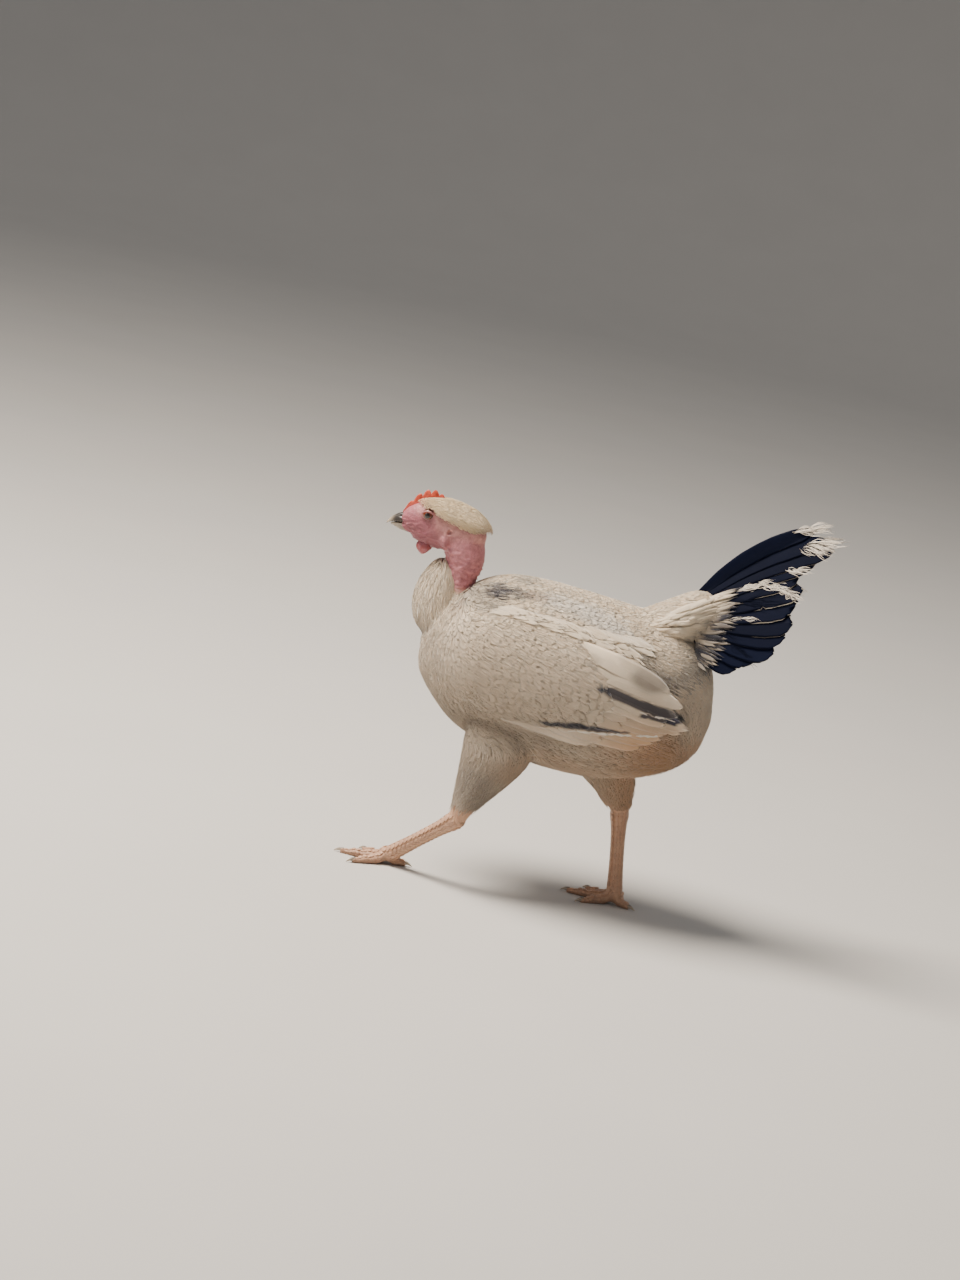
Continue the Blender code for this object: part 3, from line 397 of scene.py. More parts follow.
def ovals(centres, across, up, half_across, half_up, sides, squareness=2.0):
    """Rings of points on ovals, one for each centre. One direction or size may serve for all of them."""
    across, up = (np.broadcast_to(way, (len(centres), 3)) for way in (across, up))
    half_across, half_up = (np.broadcast_to(half, len(centres)) for half in (half_across, half_up))
    angle = 2 * np.pi * (np.arange(sides) + 0.5) / sides
    c = np.sign(np.cos(angle)) * np.abs(np.cos(angle)) ** (2 / squareness)
    s = np.sign(np.sin(angle)) * np.abs(np.sin(angle)) ** (2 / squareness)
    wide = half_across[:, None, None] * c[None, :, None] * across[:, None, :]
    high = half_up[:, None, None] * s[None, :, None] * up[:, None, :]
    return np.asarray(centres)[:, None, :] + wide + high


def closed_loft(rings):
    """Points and faces of a loft that is closed with a point in the middle of each end."""
    rows, sides = rings.shape[:2]
    points = np.vstack([rings.reshape(-1, 3), rings[0].mean(0), rings[-1].mean(0)])
    faces = grid_faces(rows, sides, True).tolist()
    last = (rows - 1) * sides
    faces += [(k, (k + 1) % sides, rows * sides) for k in range(sides)]
    faces += [(last + (k + 1) % sides, last + k, rows * sides + 1) for k in range(sides)]
    return points, faces


def lengthways(stations, steps, sides, inset=0.0, squareness=2.0, waist=0.5):
    """A closed loft along X through stations of x, top, bottom and half width."""
    rows = through(stations, steps)
    tops, bottoms = rows[:, 1] - inset, rows[:, 2] + inset
    slim = np.maximum(tops - bottoms, LOWEST)
    bottoms = (rows[:, 1] + rows[:, 2]) / 2 - slim / 2
    middle = bottoms + slim * waist
    centres = np.stack([rows[:, 0], np.zeros(len(rows)), middle], 1)
    halves = np.maximum(rows[:, 3] - inset, THINNEST)
    rings = ovals(centres, (0, 1, 0), (0, 0, 1), halves, 1.0, sides, squareness)
    rise = rings[..., 2] - middle[:, None]
    above, below = slim * (1 - waist), slim * waist
    rings[..., 2] = middle[:, None] + rise * np.where(rise > 0, above[:, None], below[:, None])
    return closed_loft(rings)


def limb_rings(rows, sides):
    """Rings along a bent line through rows of x, y, z, half depth and half width."""
    along = unit(np.gradient(rows[:, :3], axis=0))
    side = np.array((0.0, 1.0, 0.0))
    across = unit(side - along * (along @ side)[:, None])
    return ovals(rows[:, :3], across, np.cross(across, along), rows[:, 4], rows[:, 3], sides)


def limb(stations, steps, sides, side=RIGHT, inset=0.0):
    """A closed loft along a bent line. The inset may be one number for each station."""
    rows = np.array(stations, float)
    rows[:, 1] *= side
    rows[:, 3:] -= np.broadcast_to(inset, len(rows))[:, None]
    return closed_loft(limb_rings(through(rows, steps), sides))


def stacked(stations, steps, sides, inset, axes, up):
    """A closed loft of ovals, whose stations' first two numbers are places along these axes."""
    rows = through(stations, steps)
    centres = np.zeros((len(rows), 3))
    centres[:, axes] = rows[:, :2]
    high, wide = np.maximum(rows[:, 2:].T - inset, THINNEST)
    return closed_loft(ovals(centres, (0, 1, 0), up, wide, high, sides))


def upright(stations, steps, sides, inset=0.0):
    """A closed loft along Z through stations of z, middle x, half depth and half width."""
    return stacked(stations, steps, sides, inset, (2, 0), (-1, 0, 0))


def rump_loft(steps, sides, inset=0.0):
    """A closed loft of the rump, whose rings stand upright."""
    return stacked(RUMP, steps, sides, inset, (0, 2), (0, 0, 1))


def egg(centre, size, sides=20, steps=12, blunt=0.08):
    """A closed ellipsoid, its two ends cut off at this angle."""
    turn = np.linspace(blunt, np.pi - blunt, steps)
    rows = np.tile(np.asarray(centre, float), (steps, 1))
    rows[:, 1] -= size[1] * np.cos(turn)
    deep, _, high = np.outer(size, np.sin(turn))
    return closed_loft(ovals(rows, (1, 0, 0), (0, 0, 1), deep, high, sides))


TORSO_ROWS = through(TORSO, 6)
RUMP_ROWS = through(RUMP, 6)


def torso_side(x, z):
    """The trunk's half width at each length and height."""
    top, bottom, half = (look_up(x, TORSO_ROWS, k) for k in (1, 2, 3))
    height = np.minimum(np.abs(z - (top + bottom) / 2) / np.maximum((top - bottom) / 2, 1.0), 1.0)
    return half * (1 - height**TORSO_SQUARENESS) ** (1 / TORSO_SQUARENESS)


def wing_side(x, z):
    """The surface that the wing lies on: the trunk, and a straighter line behind it."""
    trunk = torso_side(x, z)
    start = torso_side(np.full_like(x, WING_LEVELLING_X), z)
    straight = start - (x - WING_LEVELLING_X) * WING_LEVELLING_SLOPE
    return np.where(x > WING_LEVELLING_X, np.maximum(trunk, straight), trunk)


def tail_flank(x, z):
    """One half of the tail, which leans outwards below its ridge."""
    root, tip = TAIL_FEATHERS[0][:2]
    run, climb = tip[0] - root[0], tip[1] - root[1]
    depth = ((x - root[0]) * climb - (z - root[1]) * run) / math.hypot(run, climb)
    return TAIL_RIDGE_HALF_GAP + np.maximum(depth, 0) * TAIL_TENT


def rump_side(x, z):
    """The rump's half width at each length and height, and the tail's half behind it."""
    middle, high, half = (look_up(x, RUMP_ROWS, k) for k in (1, 2, 3))
    height = np.minimum(np.abs(z - middle) / high, 1.0)
    return np.maximum(half * np.sqrt(1 - height**2), np.where(x > 92, tail_flank(x, z), 0))


def folded_wing(side):
    """A folded wing's form up to the tops of its flight feathers, as a closed loft over the trunk."""
    rows = through(WING, 4)
    sides = 10
    rings = []
    for x, bottom, top, thick in rows:
        share = np.linspace(0, 1, sides)
        z = bottom + (top - bottom) * share
        face = torso_side(np.full(sides, x), z)
        deep = max(thick - 1.0, 0.2) + WING_TIERS_DEPTH * smooth(-70, 20, x)
        outer = face + 1.0 + deep * np.sin(np.pi * share) ** WING_FULLNESS
        outside = np.stack([np.full(sides, x), side * outer, z], 1)
        inside = np.stack([np.full(sides, x), side * (face - 5), z], 1)[::-1]
        rings.append(np.vstack([outside, inside]))
    return closed_loft(np.array(rings))


def fused(lofts, voxel, rounds):
    """One surface round overlapping lofts, smoothed. Returns its points and quads, in millimetres."""
    points, faces, count = [], [], 0
    for some, these in lofts:
        points.append(some)
        faces += [[i + count for i in face] for face in these]
        count += len(some)
    mesh = mesh_of("fusing", np.vstack(points), faces)
    holder = new_object("fusing", mesh, bpy.data.materials.new("fusing"))
    step = holder.modifiers.new("fuse", "REMESH")
    step.mode = "VOXEL"
    step.voxel_size = voxel * MM
    graph = bpy.context.evaluated_depsgraph_get()
    result = bpy.data.meshes.new_from_object(holder.evaluated_get(graph))
    bpy.data.objects.remove(holder)
    found, quads = arrays_of(result)
    bpy.data.meshes.remove(result)
    return settle(found, quads, rounds), quads


def arrays_of(mesh):
    """A mesh's points in millimetres and its faces as lists."""
    points = np.zeros(len(mesh.vertices) * 3, np.float64)
    mesh.vertices.foreach_get("co", points)
    faces = [tuple(face.vertices) for face in mesh.polygons]
    return points.reshape(-1, 3) / MM, faces


def edges_of(faces):
    """The pairs of points that a surface's edges join, each once."""
    pairs = set()
    for face in faces:
        for a, b in zip(face, face[1:] + face[:1]):
            pairs.add((a, b) if a < b else (b, a))
    return np.array(sorted(pairs))


def settle(points, faces, rounds, weights=None):
    """Smooths a surface and keeps its bulk, by a step in and a slightly larger step out each round."""
    edges = edges_of(faces)
    a, b = edges[:, 0], edges[:, 1]
    count = np.bincount(edges.ravel(), minlength=len(points))[:, None]
    keep = np.ones((len(points), 1)) if weights is None else weights[:, None]
    points = points.copy()
    for _ in range(rounds):
        for step in (0.6, -0.62):
            total = np.zeros_like(points)
            for axis in range(3):
                total[:, axis] += np.bincount(a, points[b, axis], len(points))
                total[:, axis] += np.bincount(b, points[a, axis], len(points))
            points += (total / np.maximum(count, 1) - points) * step * keep
    return points


def point_normals(points, faces):
    """Smooth outward normals of a surface of quads and triangles."""
    mesh = bpy.data.meshes.new("normals")
    mesh.from_pydata(points.tolist(), [], faces)
    normals = np.zeros(len(points) * 3, np.float32)
    mesh.vertex_normals.foreach_get("vector", normals)
    bpy.data.meshes.remove(mesh)
    return normals.reshape(-1, 3).astype(float)


class Surface:
    """A closed form that feathers grow from and lie on."""

    def __init__(self, points, faces):
        self.points, self.faces = points, faces
        self.normals = point_normals(points, faces)
        self.tree = BVHTree.FromPolygons(points.tolist(), faces)
        triangles = [(f[0], f[i], f[i + 1]) for f in faces for i in range(1, len(f) - 1)]
        self.triangles = np.array(triangles)
        self.face_normals = np.array([self.normals[list(f)].mean(0) for f in faces])

    def nearest(self, places):
        """The nearest points of the form, and its outward directions there."""
        shape = places.shape
        spots, facing = np.empty((places.size // 3, 3)), np.empty((places.size // 3, 3))
        for i, place in enumerate(places.reshape(-1, 3)):
            spot, _, index, _ = self.tree.find_nearest(place)
            spots[i] = spot
            facing[i] = self.face_normals[index]
        return spots.reshape(shape), unit(facing).reshape(shape)

    def scatter(self, count, rng):
        """Points spread at random over the form, with its outward directions."""
        corners = self.points[self.triangles]
        size = np.linalg.norm(np.cross(corners[:, 1] - corners[:, 0], corners[:, 2] - corners[:, 0]), axis=1)
        picks = rng.choice(len(size), count, p=size / size.sum())
        a, b = np.sqrt(rng.random(count)), rng.random(count)
        weights = np.stack([1 - a, a * (1 - b), a * b], 1)
        spots = (corners[picks] * weights[..., None]).sum(1)
        facing = (self.normals[self.triangles[picks]] * weights[..., None]).sum(1)
        return spots, unit(facing)


def spaced(points, gaps):
    """Which points stay when each keeps its own gap from those before it."""
    cell = float(gaps.max())
    cells = np.floor(points / cell).astype(int)
    taken, kept = {}, []
    for i, (x, y, z) in enumerate(cells.tolist()):
        place, limit = points[i], gaps[i] ** 2
        near = (
            j for a in (-1, 0, 1) for b in (-1, 0, 1) for c in (-1, 0, 1)
            for j in taken.get((x + a, y + b, z + c), ())
        )
        if all(((points[j] - place) ** 2).sum() >= limit for j in near):
            taken.setdefault((x, y, z), []).append(i)
            kept.append(i)
    return np.array(kept)


# Feathers.


def vane_grid(rows, cols):
    """Shares along and across a feather's points, its upper grid first, and the quads of both faces."""
    along, across = np.meshgrid(np.linspace(0, 1, rows), np.linspace(-1, 1, cols), indexing="ij")
    inner = np.zeros((rows, cols), bool)
    inner[1:-1, 1:-1] = True
    under = np.arange(rows * cols).reshape(rows, cols)
    under[inner] = rows * cols + np.arange(inner.sum())
    upper = grid_faces(rows, cols)
    lower = under.ravel()[upper][:, ::-1]
    shares = np.stack([along.ravel(), across.ravel()], 1)
    shares = np.vstack([shares, shares[inner.ravel()]])
    face = np.concatenate([np.ones(rows * cols), -np.ones(inner.sum())])
    rim = np.concatenate([np.where(inner.ravel(), 1.0, 0.0), np.ones(inner.sum())])
    return shares, face * rim, np.vstack([upper, lower])


def outline_at(outline, along):
    """A feather's width factor at shares of its length."""
    table = np.array(outline)
    return np.interp(along, table[:, 0], table[:, 1])


def ragged(count, shares, rng, amount, splits=0.0):
    """Width factors that make each feather's edge uneven, with a split in some."""
    rows = np.unique(shares[:, 0])
    left = 1 + amount * rng.normal(size=(count, len(rows)))
    right = 1 + amount * rng.normal(size=(count, len(rows)))
    cut = rng.random(count) < splits
    at = rng.integers(len(rows) // 2, len(rows) - 1, count)
    left[cut, at[cut]] *= 0.84
    row = np.searchsorted(rows, shares[:, 0])
    return np.where(shares[:, 1] < 0, left[:, row], right[:, row])


def frayed(count, shares, rng, amount):
    """How far back each column of a feather's points ends, so that its tip breaks into barbs."""
    columns = np.unique(shares[:, 1])
    short = rng.random((count, len(columns))) * amount
    short[:, 1::2] *= 0.3
    return short[:, np.searchsorted(columns, shares[:, 1])] * smooth(0.6, 1.0, shares[:, 0])[None]


def lay(surface, roots, lies, lengths, halves, sink, top, rng, rows=7, cols=7, outline=SHORT_VANE,
        thickness=0.1, camber=0.2, uneven=0.04, splits=0.15, fringe=0.15, twist=0.06):
    """Feathers that grow from roots on a surface and lie along it, as points of the vane grid.

    Sink is the height of every root over the surface, and top has the height of each tip.
    """
    count = len(roots)
    shares, faces_up, quads = vane_grid(rows, cols)
    spots, facing = surface.nearest(roots)
    spine, normals, headings = [spots], [facing], []
    heading = unit(lies - facing * (lies * facing).sum(1, keepdims=True))
    for _ in range(rows - 1):
        headings.append(heading)
        ahead = spine[-1] + heading * (lengths / (rows - 1))[:, None]
        spot, out = surface.nearest(ahead)
        out = unit(out + normals[-1])
        heading = unit(heading - out * (heading * out).sum(1, keepdims=True))
        spine.append(spot)
        normals.append(out)
    headings.append(heading)
    spine, normals, headings = (np.stack(a, 1) for a in (spine, normals, headings))
    beside = np.cross(normals, headings)
    steps = np.linspace(0, 1, rows)
    wide = outline_at(outline, steps)[None, :] * halves[:, None]
    right, _ = surface.nearest(spine + beside * wide[..., None])
    left, _ = surface.nearest(spine - beside * wide[..., None])
    row = np.rint(shares[:, 0] * (rows - 1)).astype(int)
    u = shares[None, :, 1] * ragged(count, shares, rng, uneven, splits)
    mid, side = spine[:, row], (right - left)[:, row] / 2
    bow = ((right + left) / 2 - spine)[:, row]
    flat = mid + side * u[..., None] + bow * (u**2)[..., None]
    v = shares[None, :, 0]
    height = sink + (top[:, None] - sink) * v**0.8 + camber * (1 - u**2) * np.sin(np.pi * np.minimum(v, 0.95))
    height = height + rng.normal(scale=twist, size=(count, 1)) * u
    height = height + faces_up[None, :] * thickness / 2 * (1 - 0.6 * v)
    back = frayed(count, shares, rng, fringe) * lengths[:, None]
    points = flat + normals[:, row] * height[..., None] - headings[:, row] * back[..., None]
    width = outline_at(outline, shares[:, 0])[None, :] * halves[:, None]
    return points, quads, np.stack([u * width, v * lengths[:, None]], 2)


def joined(points, quads):
    """All the feathers' points in one list, and their quads numbered to match."""
    count, each = points.shape[:2]
    return points.reshape(-1, 3), (quads[None] + (np.arange(count) * each)[:, None, None]).reshape(-1, 4)


def patches(size, spots):
    """Where each feather's points go on the bake map: a small patch at its root's place on the unwrap."""
    reach = np.abs(size).reshape(len(size), -1).max(1)[:, None, None]
    local = size / np.maximum(reach, 1e-6)
    local = local - np.array((0.0, 0.5))
    return (np.clip(spots, 0.004, 0.996)[:, None, :] + local * 0.0015).reshape(-1, 2)


def round_trunk(points):
    """An unwrap of the trunk: how far along it a point lies, and how far round it."""
    x, y, z = points[..., 0], points[..., 1], points[..., 2]
    top, bottom = look_up(x, TORSO_ROWS, 1), look_up(x, TORSO_ROWS, 2)
    turn = np.arctan2(y, z - (top + bottom) / 2) / (2 * np.pi) + 0.5
    return np.stack([(x + 190) / 385, turn], -1)


def round_upright(points, middle, low, high):
    """An unwrap of a form that stands upright round this middle (x, y)."""
    turn = np.arctan2(points[..., 1] - middle[1], points[..., 0] - middle[0]) / (2 * np.pi) + 0.5
    return np.stack([turn, (points[..., 2] - low) / (high - low)], -1)


def feather_object(name, points, quads, size, finish, colours, spots, slot="white_plumage", replaced=None,
                   pale=None, flip=False):
    """One piece from many feathers, with what its material reads and its bake map."""
    places, faces = joined(points, quads)
    each = points.shape[1]
    colours = np.asarray(colours, float)
    if colours.ndim == 2:
        colours = np.repeat(colours[:, None, :], each, 1)
    edge = np.zeros(points.shape[:2]) if pale is None else pale
    maps = {"OFBake": patches(size, spots), "Vane": size.reshape(-1, 2) / 10}
    made = array_object(name, places, faces, finish, colours.reshape(-1, 3), {"Pale": edge.ravel()}, maps,
                        flip)
    piece(made, slot, replaced)


# Finishes.


def add(tree, kind, inputs=None, **settings):
    """A node with its settings, its inputs given as values or as the sockets that feed them."""
    made = tree.nodes.new(kind)
    for key, value in settings.items():
        setattr(made, key, value)
    for key, value in (inputs or {}).items():
        socket = made.inputs[key]
        if isinstance(value, bpy.types.NodeSocket):
            tree.links.new(value, socket)
        else:
            socket.default_value = value
    return made


def new_finish(name, values):
    """A material and its Principled shader, with the plain values of the shader's own sockets."""
    made = bpy.data.materials.new(name)
    made.use_nodes = True
    shader = made.node_tree.nodes["Principled BSDF"]
    for key, value in values.items():
        shader.inputs[key].default_value = value
    return made, made.node_tree, shader


def stored(tree, name, socket="Color"):
    """What the mesh stores under this name."""
    return add(tree, "ShaderNodeAttribute", attribute_name=name).outputs[socket]


def object_place(tree):
    """Object coordinates."""
    return add(tree, "ShaderNodeTexCoord").outputs["Object"]


def spread_range(tree, value, *ends):
    """A value spread from one range (two ends) to another (two more)."""
    return add(tree, "ShaderNodeMapRange", dict(enumerate((value, *ends)))).outputs[0]


def maths(tree, operation, *values):
    """One step of arithmetic."""
    return add(tree, "ShaderNodeMath", dict(enumerate(values)), operation=operation).outputs[0]


def grain(tree, place, scale, detail):
    """Noise at a place."""
    return add(tree, "ShaderNodeTexNoise", {"Vector": place, "Scale": scale, "Detail": detail}).outputs[0]


def shaded(tree, colour, factor):
    """A colour made lighter or darker."""
    return add(tree, "ShaderNodeVectorMath", {0: colour, "Scale": factor}, operation="SCALE").outputs[0]


def between(tree, share, first, second):
    """A colour between two others."""
    return add(tree, "ShaderNodeMix", {0: share, 6: first, 7: second}, data_type="RGBA").outputs[2]


def cover(tree, shader, colour, height=None, strength=0.0, distance=0.0):
    """Gives the shader its colour, and relief where it has any."""
    tree.links.new(colour, shader.inputs["Base Color"])
    if height is not None:
        bump = add(tree, "ShaderNodeBump", {"Height": height, "Strength": strength, "Distance": distance})
        tree.links.new(bump.outputs[0], shader.inputs["Normal"])


def plumage_finish(name, pale, rough, sheen, soft, gloss=0.3):
    """Keratin vanes of moulted and preened feathers: matt, with barbs that slant from the shaft."""
    values = {"Roughness": rough, "Sheen Weight": sheen, "Sheen Roughness": 0.45, "IOR": 1.54,
              "Specular IOR Level": gloss, "Subsurface Weight": soft, "Subsurface Radius": (1.0, 0.85, 0.7),
              "Subsurface Scale": 0.0025}
    made, tree, shader = new_finish(name, values)
    vane = add(tree, "ShaderNodeUVMap", uv_map="Vane").outputs["UV"]
    place = object_place(tree)
    parts = add(tree, "ShaderNodeSeparateXYZ", {"Vector": vane})
    away = maths(tree, "ABSOLUTE", parts.outputs["X"])
    slant = maths(tree, "MULTIPLY_ADD", away, -1.1, parts.outputs["Y"])
    shifted = maths(tree, "MULTIPLY_ADD", grain(tree, place, 400.0, 2.0), 0.03, slant)
    barbs = maths(tree, "SINE", maths(tree, "MULTIPLY", shifted, 2 * math.pi / BARB_GAP))
    lighter = spread_range(tree, barbs, -1.0, 1.0, 0.97, 1.01)
    patchy = spread_range(tree, grain(tree, place, 70.0, 3.0), 0.3, 0.7, 0.93, 1.03)
    toned = shaded(tree, stored(tree, "Colour"), maths(tree, "MULTIPLY", lighter, patchy))
    rim = spread_range(tree, stored(tree, "Pale", "Fac"), 0.62, 0.8, 0.0, 1.0)
    shaft = spread_range(tree, away, 0.02, 0.05, 1.0, 0.0)
    relief = maths(tree, "MULTIPLY_ADD", shaft, 1.2, barbs)
    cover(tree, shader, between(tree, rim, toned, (*pale, 1.0)), relief, 0.3, 0.0003)
    return made


def skin_finish(name, deep, rough, pores, scatter):
    """Bare living skin: soft light below the surface, red mottling, and pores 1.6 mm apart."""
    values = {"Roughness": rough, "Subsurface Weight": scatter, "Subsurface Radius": (1.0, 0.35, 0.2),
              "Subsurface Scale": 0.002, "IOR": 1.4}
    made, tree, shader = new_finish(name, values)
    place = object_place(tree)
    mottle = spread_range(tree, grain(tree, place, 260.0, 4.0), 0.42, 0.66, 0.0, 0.55)
    fine = grain(tree, place, 900.0, 3.0)
    cells = add(tree, "ShaderNodeTexVoronoi", {"Vector": place, "Scale": pores}).outputs["Distance"]
    amount = maths(tree, "MULTIPLY", mottle, stored(tree, "Bare", "Fac"))
    blotched = between(tree, amount, stored(tree, "Colour"), (*deep, 1.0))
    final = shaded(tree, blotched, spread_range(tree, fine, 0.3, 0.7, 0.9, 1.08))
    cover(tree, shader, final, maths(tree, "MULTIPLY_ADD", fine, 0.6, cells), 0.5, 0.0004)
    return made


def horn_finish(name, rough):
    """Horn of bill and claws: worn to half gloss, with streaks along it where it has grown."""
    made, tree, shader = new_finish(name, {"Roughness": rough, "IOR": 1.55, "Coat Weight": 0.15})
    drawn = add(tree, "ShaderNodeMapping", {"Vector": object_place(tree), "Scale": (1.0, 4.0, 4.0)}).outputs[0]
    streaks = grain(tree, drawn, 220.0, 4.0)
    final = shaded(tree, stored(tree, "Colour"), spread_range(tree, streaks, 0.3, 0.7, 0.82, 1.1))
    cover(tree, shader, final, streaks, 0.25, 0.0003)
    return made


def scale_finish(name, tan, dust):
    """Leg plates: hard dry keratin, waxy where it is clean and dusty in patches."""
    made, tree, shader = new_finish(name, {"Roughness": 0.48, "IOR": 1.5})
    place = object_place(tree)
    share = spread_range(tree, grain(tree, place, 160.0, 4.0), 0.35, 0.65, 0.0, 0.7)
    final = between(tree, share, (*tan, 1.0), (*dust, 1.0))
    cover(tree, shader, final, grain(tree, place, 1200.0, 2.0), 0.3, 0.0002)
    return made


def eye_finish(name, iris, pupil_share):
    """A wet cornea over a red-brown iris with a black pupil, drawn round the eye's own axis."""
    values = {"Roughness": 0.12, "Coat Weight": 1.0, "Coat Roughness": 0.02, "IOR": 1.38}
    made, tree, shader = new_finish(name, values)
    middle = tuple(v * MM for v in EYE_CENTRE)
    away = add(tree, "ShaderNodeVectorMath", {0: object_place(tree), 1: middle}, operation="SUBTRACT")
    flat = add(tree, "ShaderNodeVectorMath", {0: away.outputs[0], 1: (1, 0, 1)}, operation="MULTIPLY")
    flat = flat.outputs[0]
    reach = add(tree, "ShaderNodeVectorMath", {0: flat}, operation="LENGTH").outputs["Value"]
    share = spread_range(tree, reach, 0.0, EYE_RADIUS * MM, 0.0, 1.0)
    ramp = add(tree, "ShaderNodeValToRGB", {"Fac": share})
    stops = ramp.color_ramp.elements
    dark = tuple(c * 0.25 for c in iris)
    stops[0].position, stops[0].color = pupil_share, (0.003, 0.002, 0.002, 1)
    stops[1].position, stops[1].color = 0.95, (*dark, 1)
    for position, shade in ((pupil_share + 0.05, dark), (pupil_share + 0.18, iris), (0.68, iris), (0.8, dark)):
        stops.new(position).color = (*shade, 1)
    flecks = spread_range(tree, grain(tree, flat, 1500.0, 3.0), 0.3, 0.7, 0.6, 1.3)
    cover(tree, shader, shaded(tree, ramp.outputs["Color"], flecks))
    return made


def floor_finish(name, colour):
    """Matt studio paint, faintly uneven."""
    made, tree, shader = new_finish(name, {"Roughness": 0.85})
    lumps = grain(tree, object_place(tree), 6.0, 3.0)
    cover(tree, shader, shaded(tree, colour, spread_range(tree, lumps, 0.3, 0.7, 0.985, 1.01)))
    return made


def shared(name, maker, *values):
    """A finish that several pieces share, made the first time that it is asked for."""
    return bpy.data.materials.get(name) or maker(name, *values)


def body_plumage(colours):
    """The finish of the body's feathers."""
    return shared("Body plumage", plumage_finish, tuple(colours.white), 0.8, 0.35, 0.45)


def comb_skin(colours):
    """The finish of the comb and the wattles: finer pores than the skin's, and redder below the surface."""
    return shared("Comb flesh", skin_finish, tuple(0.6 * c for c in colours.comb), 0.42, 800.0, 0.2)


# What a user would change.


def length_of(name, description, default):
    """A length that the user may change, its default in millimetres."""
    return FloatProperty(name=name, description=description, default=default * MM, min=0.0,
                         subtype="DISTANCE", unit="LENGTH", precision=5)


def colour_of(name, description, default):
    """A colour that the user may change, its default in sRGB hex."""
    return FloatVectorProperty(name=name, description=description, default=linear(default), size=3, min=0.0,
                               max=1.0, subtype="COLOR")


class PULLET_PG_sizes(bpy.types.PropertyGroup):
    """Lengths and counts of skin and plumage"""

    skin_depth: length_of("Coat depth", "How far the skin lies under the plumage of the trunk", 6.0)
    skin_grain: length_of("Skin grain", "Size of the facets that the skin is first built from", 1.8)
    body_feather: length_of("Body feather", "Length of a feather on the back", 19.0)
    crown_feather: length_of("Crown feather", "Length of a feather on the crown", 7.0)
    tuft_feather: length_of("Tuft feather", "Length of a feather on the front of the neck", 17.0)
    plate_gap: length_of("Leg plate", "Height of a plate on the shank", 4.6)
    wrinkle: length_of("Wrinkle", "Depth of the folds of the bare neck", 0.75)
    feather_count: IntProperty(name="Feather tries", description="How many places on the trunk are tried",
                               default=40000, min=1000)
    strand_count: IntProperty(name="Strand tries", description="How many places are tried for down",
                              default=90000, min=1000)


class PULLET_PG_colours(bpy.types.PropertyGroup):
    """Colours of plumage, skin and horn"""

    cream: colour_of("Cream", "Plumage of the back and the wings", "#F8E2C2")
    # A greyer copy of the cream: painted shade on the breast and the flanks.
    cream_in_shade: colour_of("Stone", "Plumage of the breast and the flanks", "#E6D0B4")
    crown: colour_of("Crown", "Feathers of the crown", "#FFE1AC")
    tan: colour_of("Tan", "Soft feathers below the tail", "#D8A678")
    # Smoke also paints shade behind the shoulders, on the rear flank and on the front thigh.
    smoke_and_shade: colour_of("Smoke", "Grey marks of the cape and the saddle", "#4A4548")
    rust: colour_of("Rust", "Brown marks of the cape", "#A58A74")
    night: colour_of("Night", "Blue-black of the tail and the wing's dark vanes", "#060C20")
    # White also paints the highlight along the shoulder ridge.
    white: colour_of("White", "Margins and tips of dark feathers", "#F4EADC")
    red: colour_of("Red", "Bare neck", "#C07E86")
    rose: colour_of("Rose", "Face and throat", "#985A64")
    blush: colour_of("Blush", "Skin beside the crown's feathers", "#CF9C92")
    comb: colour_of("Comb", "Comb and wattles", "#C4523E")
    leg: colour_of("Leg", "Plates of the shanks and the toes", "#BE977C")
    leg_dust: colour_of("Leg dust", "Dull parts of the legs", "#9C7A66")
    horn: colour_of("Horn", "Pale edges and tip of the bill, and the claws", "#A89A88")
    horn_dark: colour_of("Dark horn", "Ridge of the bill", "#2A231F")
    iris: colour_of("Iris", "Red-brown ring of the eye", "#6B2E18")


def settings():
    """The user's sizes and colours."""
    return bpy.context.scene.pullet_sizes, bpy.context.scene.pullet_colours


def plain(colour, *shape):
    """One colour, repeated for every place of an array of this shape."""
    return np.tile(np.array(colour), (*shape, 1))


def mixed(base, other, share):
    """Colours between one and the other, point by point."""
    share = np.asarray(share)[..., None]
    return base * (1 - share) + np.asarray(other) * share


def plumage_at(points, colours, patchy=1.0):
    """The plumage's colour at each point: cream above, greyer and duller below as painted shade, tan behind, a
    painted highlight along the shoulders, and its marks.
    """
    x, z = points[:, 0], points[:, 2]
    # Cream above, and its greyer copy below as painted shade.
    base = mixed(plain(colours.cream_in_shade, len(points)), colours.cream, smooth(205, 250, z))
    base = mixed(base, colours.tan, smooth(5, 75, x) * smooth(190, 156, z) * 0.9)
    # Painted shade, darker and a little bluer, low on the breast, the belly and the front thigh.
    shade = smooth(176, 140, z) * smooth(10, -30, x)
    base = base * (1 - 0.3 * shade[:, None] * np.array((0.92, 0.97, 1.0)))
    # A painted highlight along the shoulder ridge, mixed towards white.
    for (x0, z0), (x1, z1) in zip(PAINTED_HIGHLIGHT_RIDGE, PAINTED_HIGHLIGHT_RIDGE[1:]):
        far, _ = near_line(points * (1, 0, 1), (x0, 0, z0), (x1, 0, z1))
        base = mixed(base, colours.white, 0.7 * smooth(10, 2, far) * smooth(16, 28, np.abs(points[:, 1])))
    # The marks, some of them painted shade on the flank and the thigh.
    for centre, reach, key, strength in COAT_MARKS:
        near = smooth(1.0, 0.55, reaches(points, centre, reach))
        share = np.clip(1.1 * strength * near * patchy, 0, 1)
        base = mixed(base, getattr(colours, key), share)
    return base


def coat_colours(points, colours, rng):
    """The same for whole feathers, each a little different from the next."""
    count = len(points)
    return plumage_at(points, colours, 0.7 + 0.6 * rng.random(count)) * (0.95 + 0.08 * rng.random((count, 1)))


# The skin.


